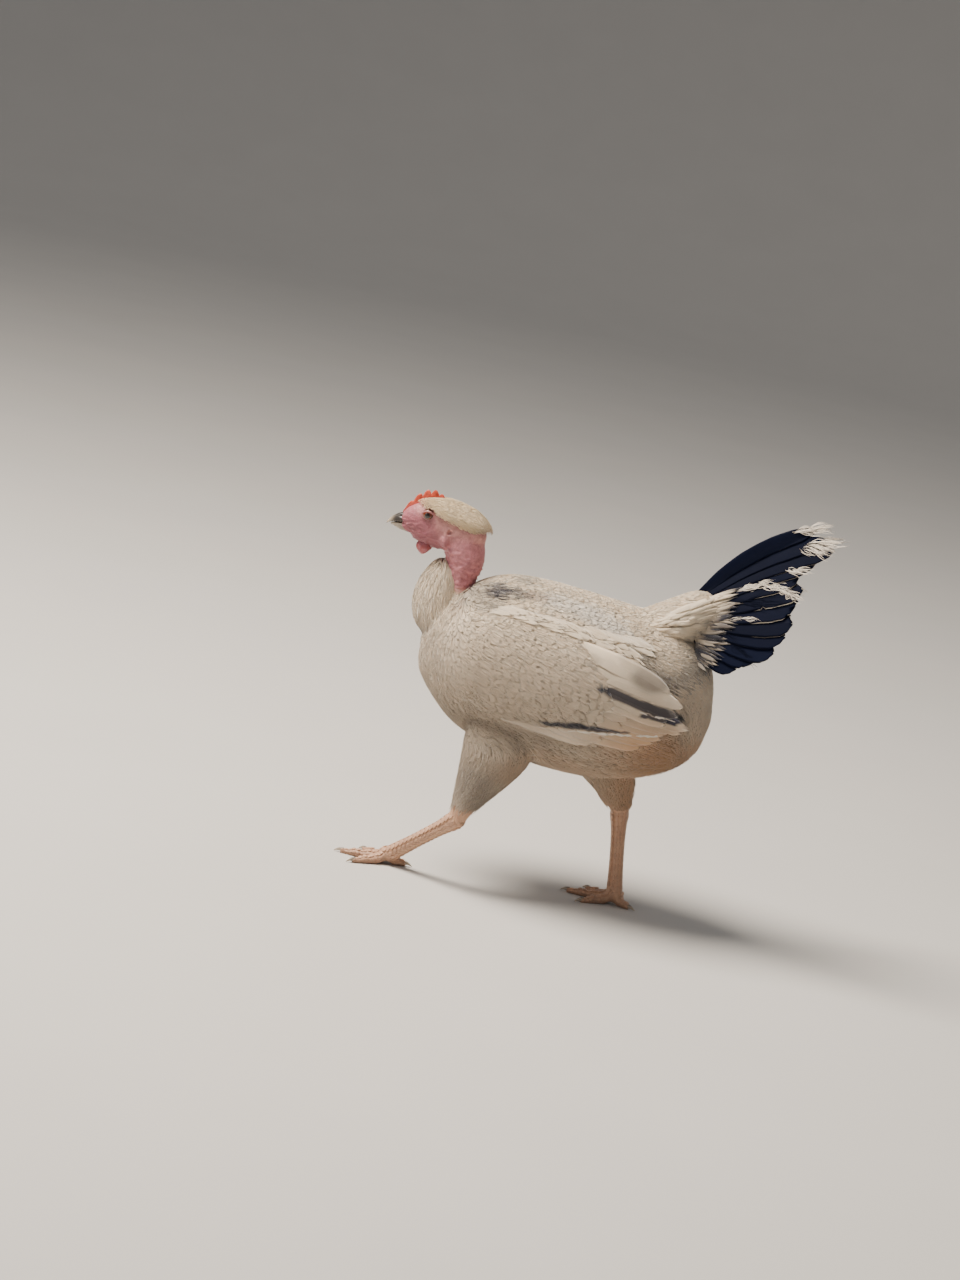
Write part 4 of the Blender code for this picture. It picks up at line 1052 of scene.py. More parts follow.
def toe_rows(side, foot_name, turn, length):
    """Rows of a toe from its root to its tip, its pads pressed to the floor."""
    foot = FOOT[foot_name]
    angle = math.radians(turn) * side
    heading = np.array((-math.cos(angle), math.sin(angle), 0.0))
    start = np.array((foot[0], foot[1] * side, 0.0)) + heading * TOE_START
    share = np.linspace(0, 1, 25)
    half = TOE_ROOT + (TOE_TIP - TOE_ROOT) * share
    half = half + TOE_PAD_SWELL * np.cos(2 * np.pi * TOE_PADS * share)
    rise = TOE_ARCH * np.maximum(0.0, 1 - share / TOE_ARCH_SHARE) ** 1.5
    places = start + heading * (length * share)[:, None]
    places[:, 2] = half - TOE_PRESS + rise
    return np.column_stack([places, half, half]), heading


def shank_rows(name, side):
    """Rows of a shank from its hock to its foot."""
    hock = np.array(HOCK[name]) * (1, side, 1)
    foot = np.array(FOOT[name]) * (1, side, 1)
    return np.array([(*(hock + (foot - hock) * share), depth, half) for share, depth, half in SHANK])


def flesh_lofts(depth):
    """The closed forms that the skin is fused from."""
    forms = [
        lengthways(HEAD, 8, 48, 0.0, 2.15), limb(NECK, 8, 40),
        lengthways(TORSO, 4, 64, depth, TORSO_SQUARENESS), rump_loft(5, 36, 5.0), upright(BIB, 5, 36, 4.5),
    ]
    for name, side in SIDES.items():
        rows = np.array(THIGHS[name])
        forms.append(limb(THIGHS[name], 5, 36, side, np.linspace(4.5, 0.0, len(rows))))
        forms.append(closed_loft(limb_rings(through(shank_rows(name, side), 8), 28)))
        forms.append(egg(np.array(EARLOBE_CENTRE) * (1, side, 1), EARLOBE_SIZE))
        for _, turn, length in TOES:
            forms.append(closed_loft(limb_rings(toe_rows(side, name, turn, length)[0], 24)))
    return forms


def refine(points, faces, wanted):
    """Splits each face whose points are all wanted into four."""
    mesh = bmesh.new()
    verts = [mesh.verts.new(p) for p in points]
    for face in faces:
        mesh.faces.new([verts[i] for i in face])
    mesh.verts.index_update()
    chosen = [e for e in mesh.edges if wanted[e.verts[0].index] and wanted[e.verts[1].index]]
    bmesh.ops.subdivide_edges(mesh, edges=chosen, cuts=1, use_grid_fill=True)
    mesh.verts.index_update()
    found = np.array([v.co for v in mesh.verts], float)
    parts = [tuple(v.index for v in f.verts) for f in mesh.faces]
    mesh.free()
    return found, parts


def near_line(points, start, end):
    """Distance from each point to a straight line between two points, and the share along it."""
    start, end = np.array(start, float), np.array(end, float)
    run = end - start
    share = np.clip(((points - start) @ run) / (run @ run), 0, 1)
    return np.linalg.norm(points - start - share[:, None] * run, axis=1), share


def bare_share(points):
    """1 on the face and the bare neck, 0 under feathers and on the legs."""
    x, z = points[:, 0], points[:, 2]
    neck = smooth(NECK_FOOT_Z, 244, z) * smooth(NECK_BACK_X, -96, x)
    under_tuft = smooth(-122, -130, x) * smooth(262, 252, z)
    return neck * (1 - under_tuft)


def fold_skin(points, normals, wrinkle):
    """Moves the skin in and out: lids, cheeks, mouth, ears, and the folds of the throat and neck."""
    folded = to_one_side(points)
    bare = bare_share(points)
    eye = np.linalg.norm((folded - np.array(EYE_CENTRE))[:, [0, 2]] * (1.0, 1.12), axis=1)
    beside = smooth(6.0, 10.0, folded[:, 1])
    rings = ridge(eye, 7.4, 0.7) * 0.2 + ridge(eye, 9.3, 0.8) * 0.12
    rim = ridge(eye, 4.9, 1.5) * 0.85 - ridge(eye, 6.5, 0.5) * 0.15
    shift = (rings + rim) * beside
    gape, share = near_line(folded, (-170, 5.4, 283.0), (-156.5, 11.0, 280.2))
    lips = ridge(gape, 2.0, 0.9) * 0.35 - ridge(gape, 0, 0.8) * 0.9
    shift += lips * (1 - 0.6 * share)
    ear = np.linalg.norm((folded - np.array(EAR_CENTRE))[:, [0, 2]], axis=1)
    shift += (-2.2 * ridge(ear, 0, 1.7) + 0.6 * ridge(ear, 3.0, 0.8)) * beside
    cheek = reaches(folded, (-141, 12, 281), (9, 6, 6))
    shift += 0.8 * ridge(cheek, 0, 1)
    brow, _ = near_line(folded, (-156, 11, 301.5), (-139, 13, 301))
    shift += 0.7 * ridge(brow, 0, 1.6)
    x, z = folded[:, 0], folded[:, 2]
    neck = bare * smooth(277, 268, z + (x + 118) * 0.35)
    stretched = folded * np.array((0.55, 0.45, 1.5))
    lumps = roughness_at(stretched, 6.0, 3)
    creases = 1 - 2 * np.abs(roughness_at(stretched + 40, 5.0, 7))
    shift += neck * wrinkle * (lumps * 0.9 + np.maximum(creases, 0) ** 3 * 1.5 - 0.6)
    jowl = bare * smooth(284, 274, z) * smooth(-112, -126, x) * (1 - neck)
    shift += jowl * wrinkle * 0.9 * np.sin(x / 1.3 + 2.0 * roughness_at(folded, 9.0, 5))
    shift += bare * 0.28 * roughness_at(folded, 2.2, 9)
    shift *= 1 - smooth(-168, -172, x) * 0.8
    return points + normals * shift[:, None]


def skin_colours(points, colours, rng):
    """Red neck, rose face, blush beside the crown, painted shade round the eyes and a painted shadow under the
    jaw, pale down under feathers, and tan legs.
    """
    x, z = points[:, 0], points[:, 2]
    bare = bare_share(points)
    folded = to_one_side(points)
    skin = plain(colours.red, len(points))
    face = smooth(-120, -140, x) * smooth(264, 272, z)
    skin = mixed(skin, colours.rose, face)
    high = smooth(0, 12, z - (PALE_LINE_Z + (x - PALE_LINE_X) * PALE_LINE_SLOPE) + 13)
    skin = mixed(skin, colours.blush, high * 0.6 * smooth(-166, -150, x))
    pale = reaches(folded, (-126, 14, 288), (13, 9, 8))
    skin = mixed(skin, colours.blush, 0.55 * ridge(pale, 0, 1))
    # Painted shade round each eye, in darker rose.
    ring = np.linalg.norm((folded - np.array(EYE_CENTRE))[:, [0, 2]], axis=1)
    lids = 0.55 * ridge(ring, 5.2, 1.6) * smooth(6, 10, folded[:, 1])
    skin = mixed(skin, np.array(colours.rose) * 0.6, lids)
    # Painted shadow under the jaw.
    shadow = smooth(276, 268, z) * smooth(-126, -134, x)
    skin = mixed(skin, np.array(colours.rose) * 0.45, shadow * 0.75)
    hidden = coat_colours(points, colours, rng) * 0.9
    made = mixed(hidden, skin, bare)
    leg = smooth(92, 76, z)
    made = mixed(made, colours.leg, leg)
    dusty = smooth(12, 2, z)
    return mixed(made, colours.leg_dust, dusty * leg * 0.7), bare


def lid_ring(side):
    """The lids of one eye, as a closed rounded rim that lies on it."""
    count, sides, reach, thick, sink = 72, 12, 4.2, 0.62, 0.2
    turn = np.linspace(0, 2 * np.pi, count, endpoint=False)
    across = np.cos(turn) * reach * 1.08
    up = np.sin(turn) * reach * np.where(np.sin(turn) > 0, 0.78, 0.84) * (0.9 + 0.1 * np.abs(np.sin(turn)))
    out = EYE_CENTRE[1] + np.sqrt(np.maximum(EYE_RADIUS**2 - np.minimum(across**2 + up**2, 24.5), 0.4)) - sink
    heavy = thick * (1 + 0.4 * np.sin(turn))
    centre = np.stack([EYE_CENTRE[0] + across, out, EYE_CENTRE[2] + up], 1)
    radial = np.stack([np.cos(turn), np.zeros(count), np.sin(turn)], 1)
    rings = ovals(centre, radial, (0, 1, 0), heavy, heavy * 0.9, sides)
    quads = grid_faces(count + 1, sides, True) % (count * sides)
    return rings.reshape(-1, 3) * (1, side, 1), quads.tolist()


def build_skin():
    """One skin over the whole bird, finer on the head and the feet, with its folds and lids."""
    sizes, colours = settings()
    rng = np.random.default_rng(SEED)
    points, faces = fused(flesh_lofts(sizes.skin_depth / MM), sizes.skin_grain / MM, 3)
    head = (points[:, 0] < NECK_BACK_X) & (points[:, 2] > NECK_FOOT_Z)
    feet = points[:, 2] < REAR_LEG_BARE_Z
    points, faces = refine(points, faces, head | feet)
    points = settle(points, faces, 2, np.where(points[:, 2] < 20, 0.4, 1.0))
    points = fold_skin(points, point_normals(points, faces), sizes.wrinkle / MM)
    points[:, 2] = np.maximum(points[:, 2], 0.0)
    for side in SIDES.values():
        rim, quads = lid_ring(side)
        faces += [tuple(i + len(points) for i in quad) for quad in quads]
        points = np.vstack([points, rim])
    mesh = mesh_of("skin", points, faces)
    outward(mesh)
    shades, bare = skin_colours(points, colours, rng)
    carry(mesh, shades, {"Bare": bare}, {"OFBake": skin_unwrap(points)})
    mesh.shade_smooth()
    deep = tuple(0.55 * c for c in colours.red)
    skin = new_object("skin", mesh, shared("Bare skin", skin_finish, deep, 0.5, 620.0, 0.12))
    toes = [f"toe_{toe}_{name}" for name in SIDES for toe, _, _ in TOES]
    legs = [f"{kind}_{name}" for name in SIDES for kind in ("thigh", "shank", "earlobe")]
    return piece(skin, "bare_skin", "head", "neck", "torso", *legs, *toes)


def skin_unwrap(points):
    """An unwrap of the skin, part by part: trunk, head and neck, and each leg in a strip of its own."""
    x, y, z = points.T
    trunk = round_trunk(points) * (0.6, 0.6)
    head = round_upright(points, (-118, 0), 230, 315) * (0.38, 0.38) + (0.61, 0.0)
    ahead = round_upright(points, (-90, 40), 0, 175) * (0.38, 0.38) + (0.0, 0.61)
    behind = round_upright(points, (60, 40), 0, 175) * (0.38, 0.38) + (0.39, 0.61)
    made = np.where(((z > NECK_FOOT_Z) & (x < NECK_BACK_X))[:, None], head, trunk)
    low = z < LEG_TOP_Z
    made = np.where((low & (y < 0))[:, None], ahead, made)
    return np.clip(np.where((low & (y >= 0))[:, None], behind, made), 0.0, 1.0)


# The head's hard parts, comb, wattles and claws.


def outward(mesh):
    """Turns a closed mesh's faces outwards."""
    work = bmesh.new()
    work.from_mesh(mesh)
    bmesh.ops.recalc_face_normals(work, faces=work.faces)
    work.to_mesh(mesh)
    work.free()


def loft_object(name, points, faces, finish, shades, slot, replaced, values=None):
    """A piece from one closed loft in millimetres, coloured point by point."""
    mesh = mesh_of(name, points, faces)
    outward(mesh)
    carry(mesh, shades, values)
    mesh.shade_smooth()
    return piece(new_object(name, mesh, finish), slot, *replaced)


def build_eyes():
    """Two wet eyeballs."""
    _, colours = settings()
    finish = shared("Cornea over iris", eye_finish, tuple(colours.iris), 0.36)
    for name, side in SIDES.items():
        points, faces = egg(np.array(EYE_CENTRE) * (1, side, 1), [EYE_RADIUS] * 3, 64, 40, 0.03)
        loft_object(f"eyeball_{name}", points, faces, finish, None, "eye", [f"eye_{name}"])


def build_bill():
    """Both halves of the bill, with nostrils in the upper one."""
    _, colours = settings()
    finish = shared("Bill horn", horn_finish, 0.42)
    for part, stations, waist in (("upper", BILL_UPPER, 0.22), ("lower", BILL_LOWER, 0.8)):
        points, faces = lengthways(stations, 12, 56, 0.0, BILL_SQUARENESS, waist)
        slit = reaches(points, NOSTRIL, (2.3, 2.2, 0.85))
        if part == "upper":
            points[:, 1] -= np.sign(points[:, 1]) * 1.5 * np.exp(-slit**2 * 1.4)
            points[:, 2] += 0.35 * ridge(slit, 1.5, 0.5) * (points[:, 2] > NOSTRIL[2])
        x, z = points[:, 0], points[:, 2]
        high = smooth(0.0, 3.2, z - np.interp(x, (-183, -172, -160), (277.6, 281.2, 283.0)))
        shades = plain(colours.horn, len(points))
        if part == "upper":
            shades = mixed(shades, colours.horn_dark, high * smooth(-182, -175, x))
            # The nostril's slit painted near black: painted shade in its hollow.
            shades = mixed(shades, np.array(colours.horn_dark) * 0.3, np.exp(-slit**2 * 1.6))
        else:
            shades = mixed(shades, colours.horn_dark, 0.35 * smooth(-178, -164, x))
        loft_object(f"bill_{part}_horn", points, faces, finish, shades, "horn", [f"bill_{part}"])


def build_comb():
    """The single comb, a low blade with rounded points."""
    _, colours = settings()
    steps, rows = 120, 14
    share = np.linspace(0, 1, steps)
    swell = np.sin(np.pi * np.clip(share, 0.02, 0.98)) ** 0.55
    wave = np.abs(np.sin(np.pi * COMB_POINTS * share)) ** 0.8
    rise = COMB_HEIGHT * swell * (1 - COMB_NOTCH + COMB_NOTCH * wave)
    x = COMB_FRONT + (COMB_BACK - COMB_FRONT) * share
    base = COMB_BASE_FRONT + (COMB_BASE_BACK - COMB_BASE_FRONT) * share + COMB_ARCH * np.sin(np.pi * share)
    up = np.linspace(0, 1, rows)
    thick = COMB_FOOT + (COMB_TOP - COMB_FOOT) * up**0.7
    thick[-1] *= 0.75
    z = (base - COMB_SINK)[:, None] + up * (rise + COMB_SINK)[:, None]
    thick = thick[None, :] * (0.35 + 0.65 * swell[:, None])
    sway = 0.35 * np.sin(share * 17)[:, None] * up
    near, far = (np.stack([np.broadcast_to(x[:, None], z.shape), sway + t, z], 2) for t in (thick, -thick))
    points, faces = closed_loft(np.concatenate([near, far[:, ::-1]], 1))
    points = points + roughness_at(points, 1.6, 21)[:, None] * np.array((0, 0.16, 0.1))
    shades = mixed(plain(colours.comb, len(points)), colours.rose,
                   smooth(6, -3, points[:, 2] - np.interp(points[:, 0], x, base)))
    loft_object("comb_flesh", points, faces, comb_skin(colours), shades, "comb_flesh", ["comb"],
                {"Bare": np.ones(len(points))})


def build_wattles():
    """Two small wattles below the bill."""
    _, colours = settings()
    for name, side in SIDES.items():
        share = np.linspace(0, 1, 36)
        swell = np.sin(np.pi * (0.12 + 0.86 * share)) ** 0.7
        top = np.array(WATTLE_TOP) * (1, side, 1)
        centres = top + np.stack([0.8 * share, side * 0.8 * share, -WATTLE_DROP * share], 1)
        points, faces = closed_loft(ovals(centres, (0, 1, 0), (-1, 0, 0), WATTLE_HALF_WIDTH * swell,
                                          WATTLE_HALF_DEPTH * swell, 40))
        points = points + roughness_at(points, 1.8, 31)[:, None] * np.array((0.1, 0.25, 0.0))
        shades = mixed(plain(colours.rose, len(points)), colours.red, smooth(270, 262, points[:, 2]))
        loft_object(f"wattle_flesh_{name}", points, faces, comb_skin(colours), shades, "comb_flesh",
                    [f"wattle_{name}"], {"Bare": np.ones(len(points))})


def build_claws():
    """A curved claw on every toe, darker along its top."""
    _, colours = settings()
    finish = shared("Claw horn", horn_finish, 0.5)
    share = np.linspace(0, 1, 18)
    for foot_name, side in SIDES.items():
        for toe, turn, length in TOES:
            rows, heading = toe_rows(side, foot_name, turn, length)
            half = CLAW_RADIUS * (1 - share) ** 0.8 + CLAW_POINT
            centres = rows[0, :3] * (1, 1, 0) + heading * (length - CLAW_SINK + CLAW_LENGTH * share)[:, None]
            centres[:, 2] += CLAW_BASE_HEIGHT + np.sin(np.pi * share) - CLAW_FALL * share
            beside = np.cross(heading, (0, 0, 1))
            points, faces = closed_loft(ovals(centres, beside, (0, 0, 1), half * CLAW_NARROWNESS, half, 20))
            shades = mixed(plain(colours.horn, len(points)), colours.horn_dark,
                           0.5 * smooth(2.6, 4.2, points[:, 2]))
            loft_object(f"claw_horn_{toe}_{foot_name}", points, faces, finish, shades, "horn",
                        [f"claw_{toe}_{foot_name}"])


# Plates of the legs and follicles of the neck, repeated by Geometry Nodes.


def bumps_tree(name):
    """A node tree that sets a rounded plate on every point, turned and sized by the point's values."""
    tree = bpy.data.node_groups.new(name, "GeometryNodeTree")
    sockets = {}
    for label, kind in (("Geometry", "Geometry"), ("Plate size", "Float"), ("Plate sides", "Int"),
                        ("Finish", "Material")):
        sockets[label] = tree.interface.new_socket(label, in_out="INPUT", socket_type=f"NodeSocket{kind}")
    sides, finish = sockets["Plate sides"], sockets["Finish"]
    sockets["Plate size"].default_value, sides.default_value = 1.0, 14
    tree.interface.new_socket("Geometry", in_out="OUTPUT", socket_type="NodeSocketGeometry")
    given = add(tree, "NodeGroupInput")
    plate = add(tree, "GeometryNodeMeshUVSphere", {"Segments": given.outputs["Plate sides"], "Rings": 8,
                                                   "Radius": given.outputs["Plate size"]})
    turn = add(tree, "GeometryNodeInputNamedAttribute", {"Name": "turn"}, data_type="FLOAT_VECTOR")
    size = add(tree, "GeometryNodeInputNamedAttribute", {"Name": "size"}, data_type="FLOAT_VECTOR")
    angle = add(tree, "FunctionNodeEulerToRotation", {"Euler": turn.outputs[0]})
    placed = add(tree, "GeometryNodeInstanceOnPoints", {
        "Points": given.outputs["Geometry"], "Instance": plate.outputs["Mesh"],
        "Rotation": angle.outputs[0], "Scale": size.outputs[0],
    })
    solid = add(tree, "GeometryNodeRealizeInstances", {"Geometry": placed.outputs[0]})
    soft = add(tree, "GeometryNodeSetShadeSmooth", {"Geometry": solid.outputs[0]})
    dressed = add(tree, "GeometryNodeSetMaterial", {"Geometry": soft.outputs[0],
                                                    "Material": given.outputs["Finish"]})
    add(tree, "NodeGroupOutput", {"Geometry": dressed.outputs[0]})
    return tree, sides, finish


def bumps_object(name, places, axes, sizes, finish, sides, slot, colours=None):
    """A piece of rounded plates at places, each turned so that its own axes lie along the given ones."""
    turns = np.array([Matrix(a.T.tolist()).to_euler() for a in axes])
    mesh = mesh_of(name + "_points", places)
    for key, numbers in (("turn", turns), ("size", sizes * MM)):
        layer = mesh.attributes.new(key, "FLOAT_VECTOR", "POINT")
        layer.data.foreach_set("vector", np.asarray(numbers, np.float32).ravel())
    if colours is not None:
        carry(mesh, colours, {"Bare": np.ones(len(places))})
    holder = new_object(name + "_points", mesh, finish)
    step = holder.modifiers.new("plates", "NODES")
    step.node_group, facets, dressing = bumps_tree(name)
    step[facets.identifier] = sides
    step[dressing.identifier] = finish
    graph = bpy.context.evaluated_depsgraph_get()
    solid = bpy.data.meshes.new_from_object(holder.evaluated_get(graph))
    bpy.data.objects.remove(holder)
    made = bpy.data.objects.new(name, solid)
    bpy.context.scene.collection.objects.link(made)
    piece(made, slot)


def plates_along(rows, front, columns, gap):
    """Places, axes and sizes of plates in columns along a limb."""
    along = unit(np.gradient(rows[:, :3], axis=0))
    far = np.concatenate([[0], np.cumsum(np.linalg.norm(np.diff(rows[:, :3], axis=0), axis=1))])
    places, axes, sizes = [], [], []
    for order, (angle, half, thick, start, stop) in enumerate(columns):
        count = max(3, int(far[-1] * (stop - start) / gap))
        for k in range(count):
            s = far[-1] * (start + (stop - start) * (k + 0.5 * (order % 2)) / count)
            spot = np.array([np.interp(s, far, rows[:, c]) for c in range(5)])
            way = unit(np.array([np.interp(s, far, along[:, c]) for c in range(3)]))
            ahead = unit(front - way * (front @ way))
            side = np.cross(way, ahead)
            out = ahead * math.cos(angle) + side * math.sin(angle)
            reach = 1 / math.hypot(math.cos(angle) / spot[3], math.sin(angle) / spot[4])
            tilted = unit(out + way * 0.1)
            down = unit(way - tilted * (way @ tilted))
            places.append(spot[:3] + out * (reach - thick * 0.35))
            axes.append(np.stack([np.cross(down, tilted), down, tilted]))
            shrink = reach / 6.5
            sizes.append((half * shrink, gap * 0.62, thick))
    return np.array(places), np.array(axes), np.array(sizes)


def build_plates():
    """Plates down the shanks and along the toes."""
    sizes, colours = settings()
    finish = shared("Leg plates", scale_finish, tuple(colours.leg), tuple(colours.leg_dust))
    gap = sizes.plate_gap / MM
    for name, side in SIDES.items():
        rows = through(shank_rows(name, side), 8)
        ahead = np.array((-1.0, 0.0, 0.25))
        found = [plates_along(rows[:, :5], ahead, SHANK_PLATES, gap)]
        for _, turn, length in TOES:
            toes, _ = toe_rows(side, name, turn, length)
            found.append(plates_along(toes, np.array((0.0, 0.0, 1.0)), TOE_PLATES, gap * 0.72))
        places, axes, shapes = (np.concatenate(a) for a in zip(*found))
        bumps_object(f"leg_plates_{name}", places, axes, shapes, finish, 14, "leg_scales")


def build_follicles(skin_surface):
    """Domes round the plucked-looking pores of the bare neck."""
    _, colours = settings()
    rng = np.random.default_rng(SEED + 5)
    spots, facing = skin_surface.scatter(60000, rng)
    wanted = bare_share(spots) * smooth(-138, -126, spots[:, 0]) * smooth(284, 276, spots[:, 2]) > 0.5
    spots, facing = spots[wanted], facing[wanted]
    kept = spaced(spots, rng.uniform(1.4, 2.2, len(spots)))
    spots, facing = spots[kept], facing[kept]
    side = unit(np.cross(facing, (0.0, 0.1, 1.0)))
    axes = np.stack([side, np.cross(facing, side), facing], 1)
    wide = rng.uniform(0.22, 0.48, len(spots))
    shapes = np.stack([wide, wide * rng.uniform(1.0, 1.5, len(spots)), wide * 0.55], 1)
    shades, _ = skin_colours(spots, colours, rng)
    finish = bpy.data.materials["Bare skin"]
    bumps_object("neck_follicles", spots - facing * 0.12, axes, shapes, finish, 10, "bare_skin",
                 mixed(shades, colours.blush, 0.15))


# The coat.


def hull():
    """The plumage's own surface over trunk, rump, thighs and folded wings."""
    forms = [lengthways(TORSO, 4, 64, 0.0, TORSO_SQUARENESS), rump_loft(5, 36)]
    for name, side in SIDES.items():
        forms += [limb(THIGHS[name], 5, 36, side), folded_wing(side)]
    return Surface(*fused(forms, 2.3, 6))


def thigh_share(points):
    """How surely a point lies on a thigh below the belly, and the way down that thigh."""
    share, way = np.zeros(len(points)), np.zeros((len(points), 3))
    for name, side in SIDES.items():
        rows = np.array(THIGHS[name]) * (1, side, 1, 1, 1)
        line = through(rows, 6)
        far = np.linalg.norm(points[:, None] - line[None, :, :3], axis=2)
        near = far.argmin(1)
        slope = unit(np.gradient(line[:, :3], axis=0))
        close = smooth(1.35, 1.05, far.min(1) / line[near, 3]) * smooth(140, 118, points[:, 2])
        better = close > share
        share[better], way[better] = close[better], slope[near[better]]
    return share, way


def lie_of(points, facing):
    """The way that the trunk's feathers point."""
    x, _, z = points.T
    backwards, downwards, upwards = (1.0, 0, 0), (0.35, 0, -1.0), (1.0, 0, 0.4)
    way = np.array(backwards) + np.abs(facing[:, 1:2]) * np.array((0, 0, -0.3))
    way = mixed(way, downwards, smooth(-84, -112, x))
    way = mixed(way, upwards, smooth(52, 84, x) * smooth(216, 236, z))
    way = mixed(way, downwards, smooth(78, 104, x) * smooth(212, 190, z))
    legs, down = thigh_share(points)
    return mixed(way, down, legs), legs


def inside(x, z, corners):
    """Which places lie inside an outline."""
    found = np.zeros(len(x), bool)
    for (x0, z0), (x1, z1) in zip(corners, corners[1:] + corners[:1]):
        crosses = (z0 > z) != (z1 > z)
        found ^= crosses & (x < x0 + (z - z0) * (x1 - x0) / (z1 - z0 if z1 != z0 else 1e-9))
    return found


def grows(points, lower=0):
    """Where the trunk and the thighs are feathered: not under flight feathers, nor down on the bare legs."""
    x, y, z = points.T
    covered = inside(x, z, WING_OUTLINE) & (np.abs(y) > WING_Y)
    return ~covered & ~((z < FRONT_LEG_BARE_Z - lower) & (x < 0)) & ~((z < REAR_LEG_BARE_Z - lower) & (x > 0))


def by_zone(kind, laid, finish, shades, spots, split):
    """Four pieces, of the feathers of each side before and behind this length."""
    points, quads, shape = laid
    places = skin_unwrap(spots)
    zone = np.where(spots[:, 1] < 0, 0, 1) + np.where(spots[:, 0] > split, 2, 0)
    for k, key in enumerate(ZONES):
        mine = zone == k
        feather_object(f"{kind}_{key}", points[mine], quads, shape[mine], finish, shades[mine], places[mine])


def pick(wanted, *arrays):
    """The same rows of several arrays."""
    return tuple(a[wanted] for a in arrays)


def build_coat():
    """Contour feathers over trunk and thighs, longer on the wing. Returns the surface that they lie on."""
    sizes, colours = settings()
    rng = np.random.default_rng(SEED + 1)
    surface = hull()
    spots, facing = surface.scatter(sizes.feather_count, rng)
    lie, legs = lie_of(spots, facing)
    x, y, z = spots.T
    full = sizes.body_feather / MM
    low = smooth(160, 128, z)
    behind = smooth(40, 95, x) * smooth(205, 185, z)
    long = full * (0.82 + 0.18 * smooth(-80, -30, x)) * (1 + 0.25 * np.maximum(low, behind))
    long = long * (1 - 0.2 * smooth(-95, -120, x))
    long = np.where(legs > 0.5, full * np.interp(z, (70, 90, 125), (0.36, 0.5, 0.8)), long)
    wing = inside(x, z, COVERTS_OUTLINE) & (np.abs(y) > WING_Y)
    long = np.where(wing, full * (1.2 + 0.35 * smooth(-30, 10, x)), long)
    spots, lie, long = pick(grows(spots), spots, lie, long)
    spots, lie, long = pick(spaced(spots, long * 0.19), spots, lie, long)
    count = len(spots)
    lie = unit(lie) + rng.normal(scale=0.08, size=(count, 3))
    long = long * rng.uniform(0.9, 1.1, count)
    top = 0.05 + rng.uniform(-0.02, 0.06, count) + 0.25 * softness(spots)
    laid = lay(surface, spots, lie, long, long * 0.24, -0.6, top, rng, cols=5, camber=0.07, thickness=0.07,
               fringe=0.09, twist=0.03)
    shades = streaked(laid[0], coat_colours(spots, colours, rng)[:, None], colours, rng)
    by_zone("coat", laid, body_plumage(colours), shades, spots, -40)
    return surface


def softness(points):
    """How downy the plumage is: 1 below and behind, and low on the thighs."""
    x, _, z = points.T
    return np.maximum(smooth(168, 130, z), smooth(52, 92, x) * smooth(212, 188, z))


def build_down(surface):
    """Strands of loose barbs over the contour feathers, long on belly and vent and short elsewhere."""
    sizes, colours = settings()
    rng = np.random.default_rng(SEED + 8)
    spots, facing = surface.scatter(sizes.strand_count, rng)
    lie, legs = lie_of(spots, facing)
    spots, lie, legs = pick(grows(spots, 4), spots, lie, legs)
    soft = softness(spots)
    kept = spaced(spots, np.where(soft > 0.5, 1.5, 1.85))
    spots, lie, legs, soft = pick(kept, spots, lie, legs, soft)
    count = len(spots)
    long = np.interp(soft, (0, 1), (11.0, 16.0)) * rng.uniform(0.7, 1.25, count)
    vent = smooth(62, 96, spots[:, 0]) * smooth(190, 160, spots[:, 2])
    long = long * (1 + 0.5 * vent)
    long = np.where(legs > 0.4, long * np.interp(spots[:, 2], (70, 90, 125), (0.45, 0.6, 0.85)), long)
    lie = unit(lie) + rng.normal(scale=0.1, size=(count, 3)) * (1 + 0.6 * soft[:, None])
    fluff = smooth(40, 90, spots[:, 0]) * smooth(184, 160, spots[:, 2])
    top = 0.2 + rng.uniform(0, 0.2, count) + (0.6 + 2.2 * fluff * rng.random(count)) * soft
    laid = lay(surface, spots, lie, long, 0.3 + 0.08 * soft, -0.1, top, rng, rows=4, cols=3, outline=STRAND,
               camber=0.12, uneven=0.0, splits=0.0, fringe=0.0, twist=0.05)
    shades = np.clip(coat_colours(spots, colours, rng) * 1.04, 0, 1)
    shades = streaked(laid[0], shades[:, None], colours, rng)
    by_zone("down", laid, body_plumage(colours), shades, spots, 0)


def build_scapulars(surface):
    """Long feathers from the shoulders that lie over the wing's upper edge."""
    _, colours = settings()
    rng = np.random.default_rng(SEED + 2)
    places, lies, longs = [], [], []
    for side in SIDES.values():
        for start, drop, long, count in SCAPULARS:
            for k in range(count):
                share = k / (count - 1) - 0.5
                spot = np.array(start, float) + rng.normal(scale=(3.0, 0.6, 1.0))
                spot += (0.0, -share * 18, -share * drop + 6 * (0.5 - abs(share)))
                places.append(spot * (1, side, 1))
                lies.append((1.0, side * 0.05, -0.08 - 0.14 * (share + 0.5)))
                longs.append(long * rng.uniform(0.85, 1.1))
    places, lies, longs = np.array(places), np.array(lies), np.array(longs)
    top = rng.uniform(0.5, 1.1, len(places))
    spots, _ = surface.nearest(places)
    laid = lay(surface, places, lies, longs, longs * 0.12, -0.5, top, rng, rows=10, cols=5,
               outline=NARROW_VANE, thickness=0.08, fringe=0.16, uneven=0.02)
    # Mixed towards cream: a painted highlight on the shoulder feathers.
    shades = mixed(coat_colours(spots, colours, rng), colours.cream, 0.7)
    feather_object("scapulars", *laid, body_plumage(colours), shades, skin_unwrap(spots))


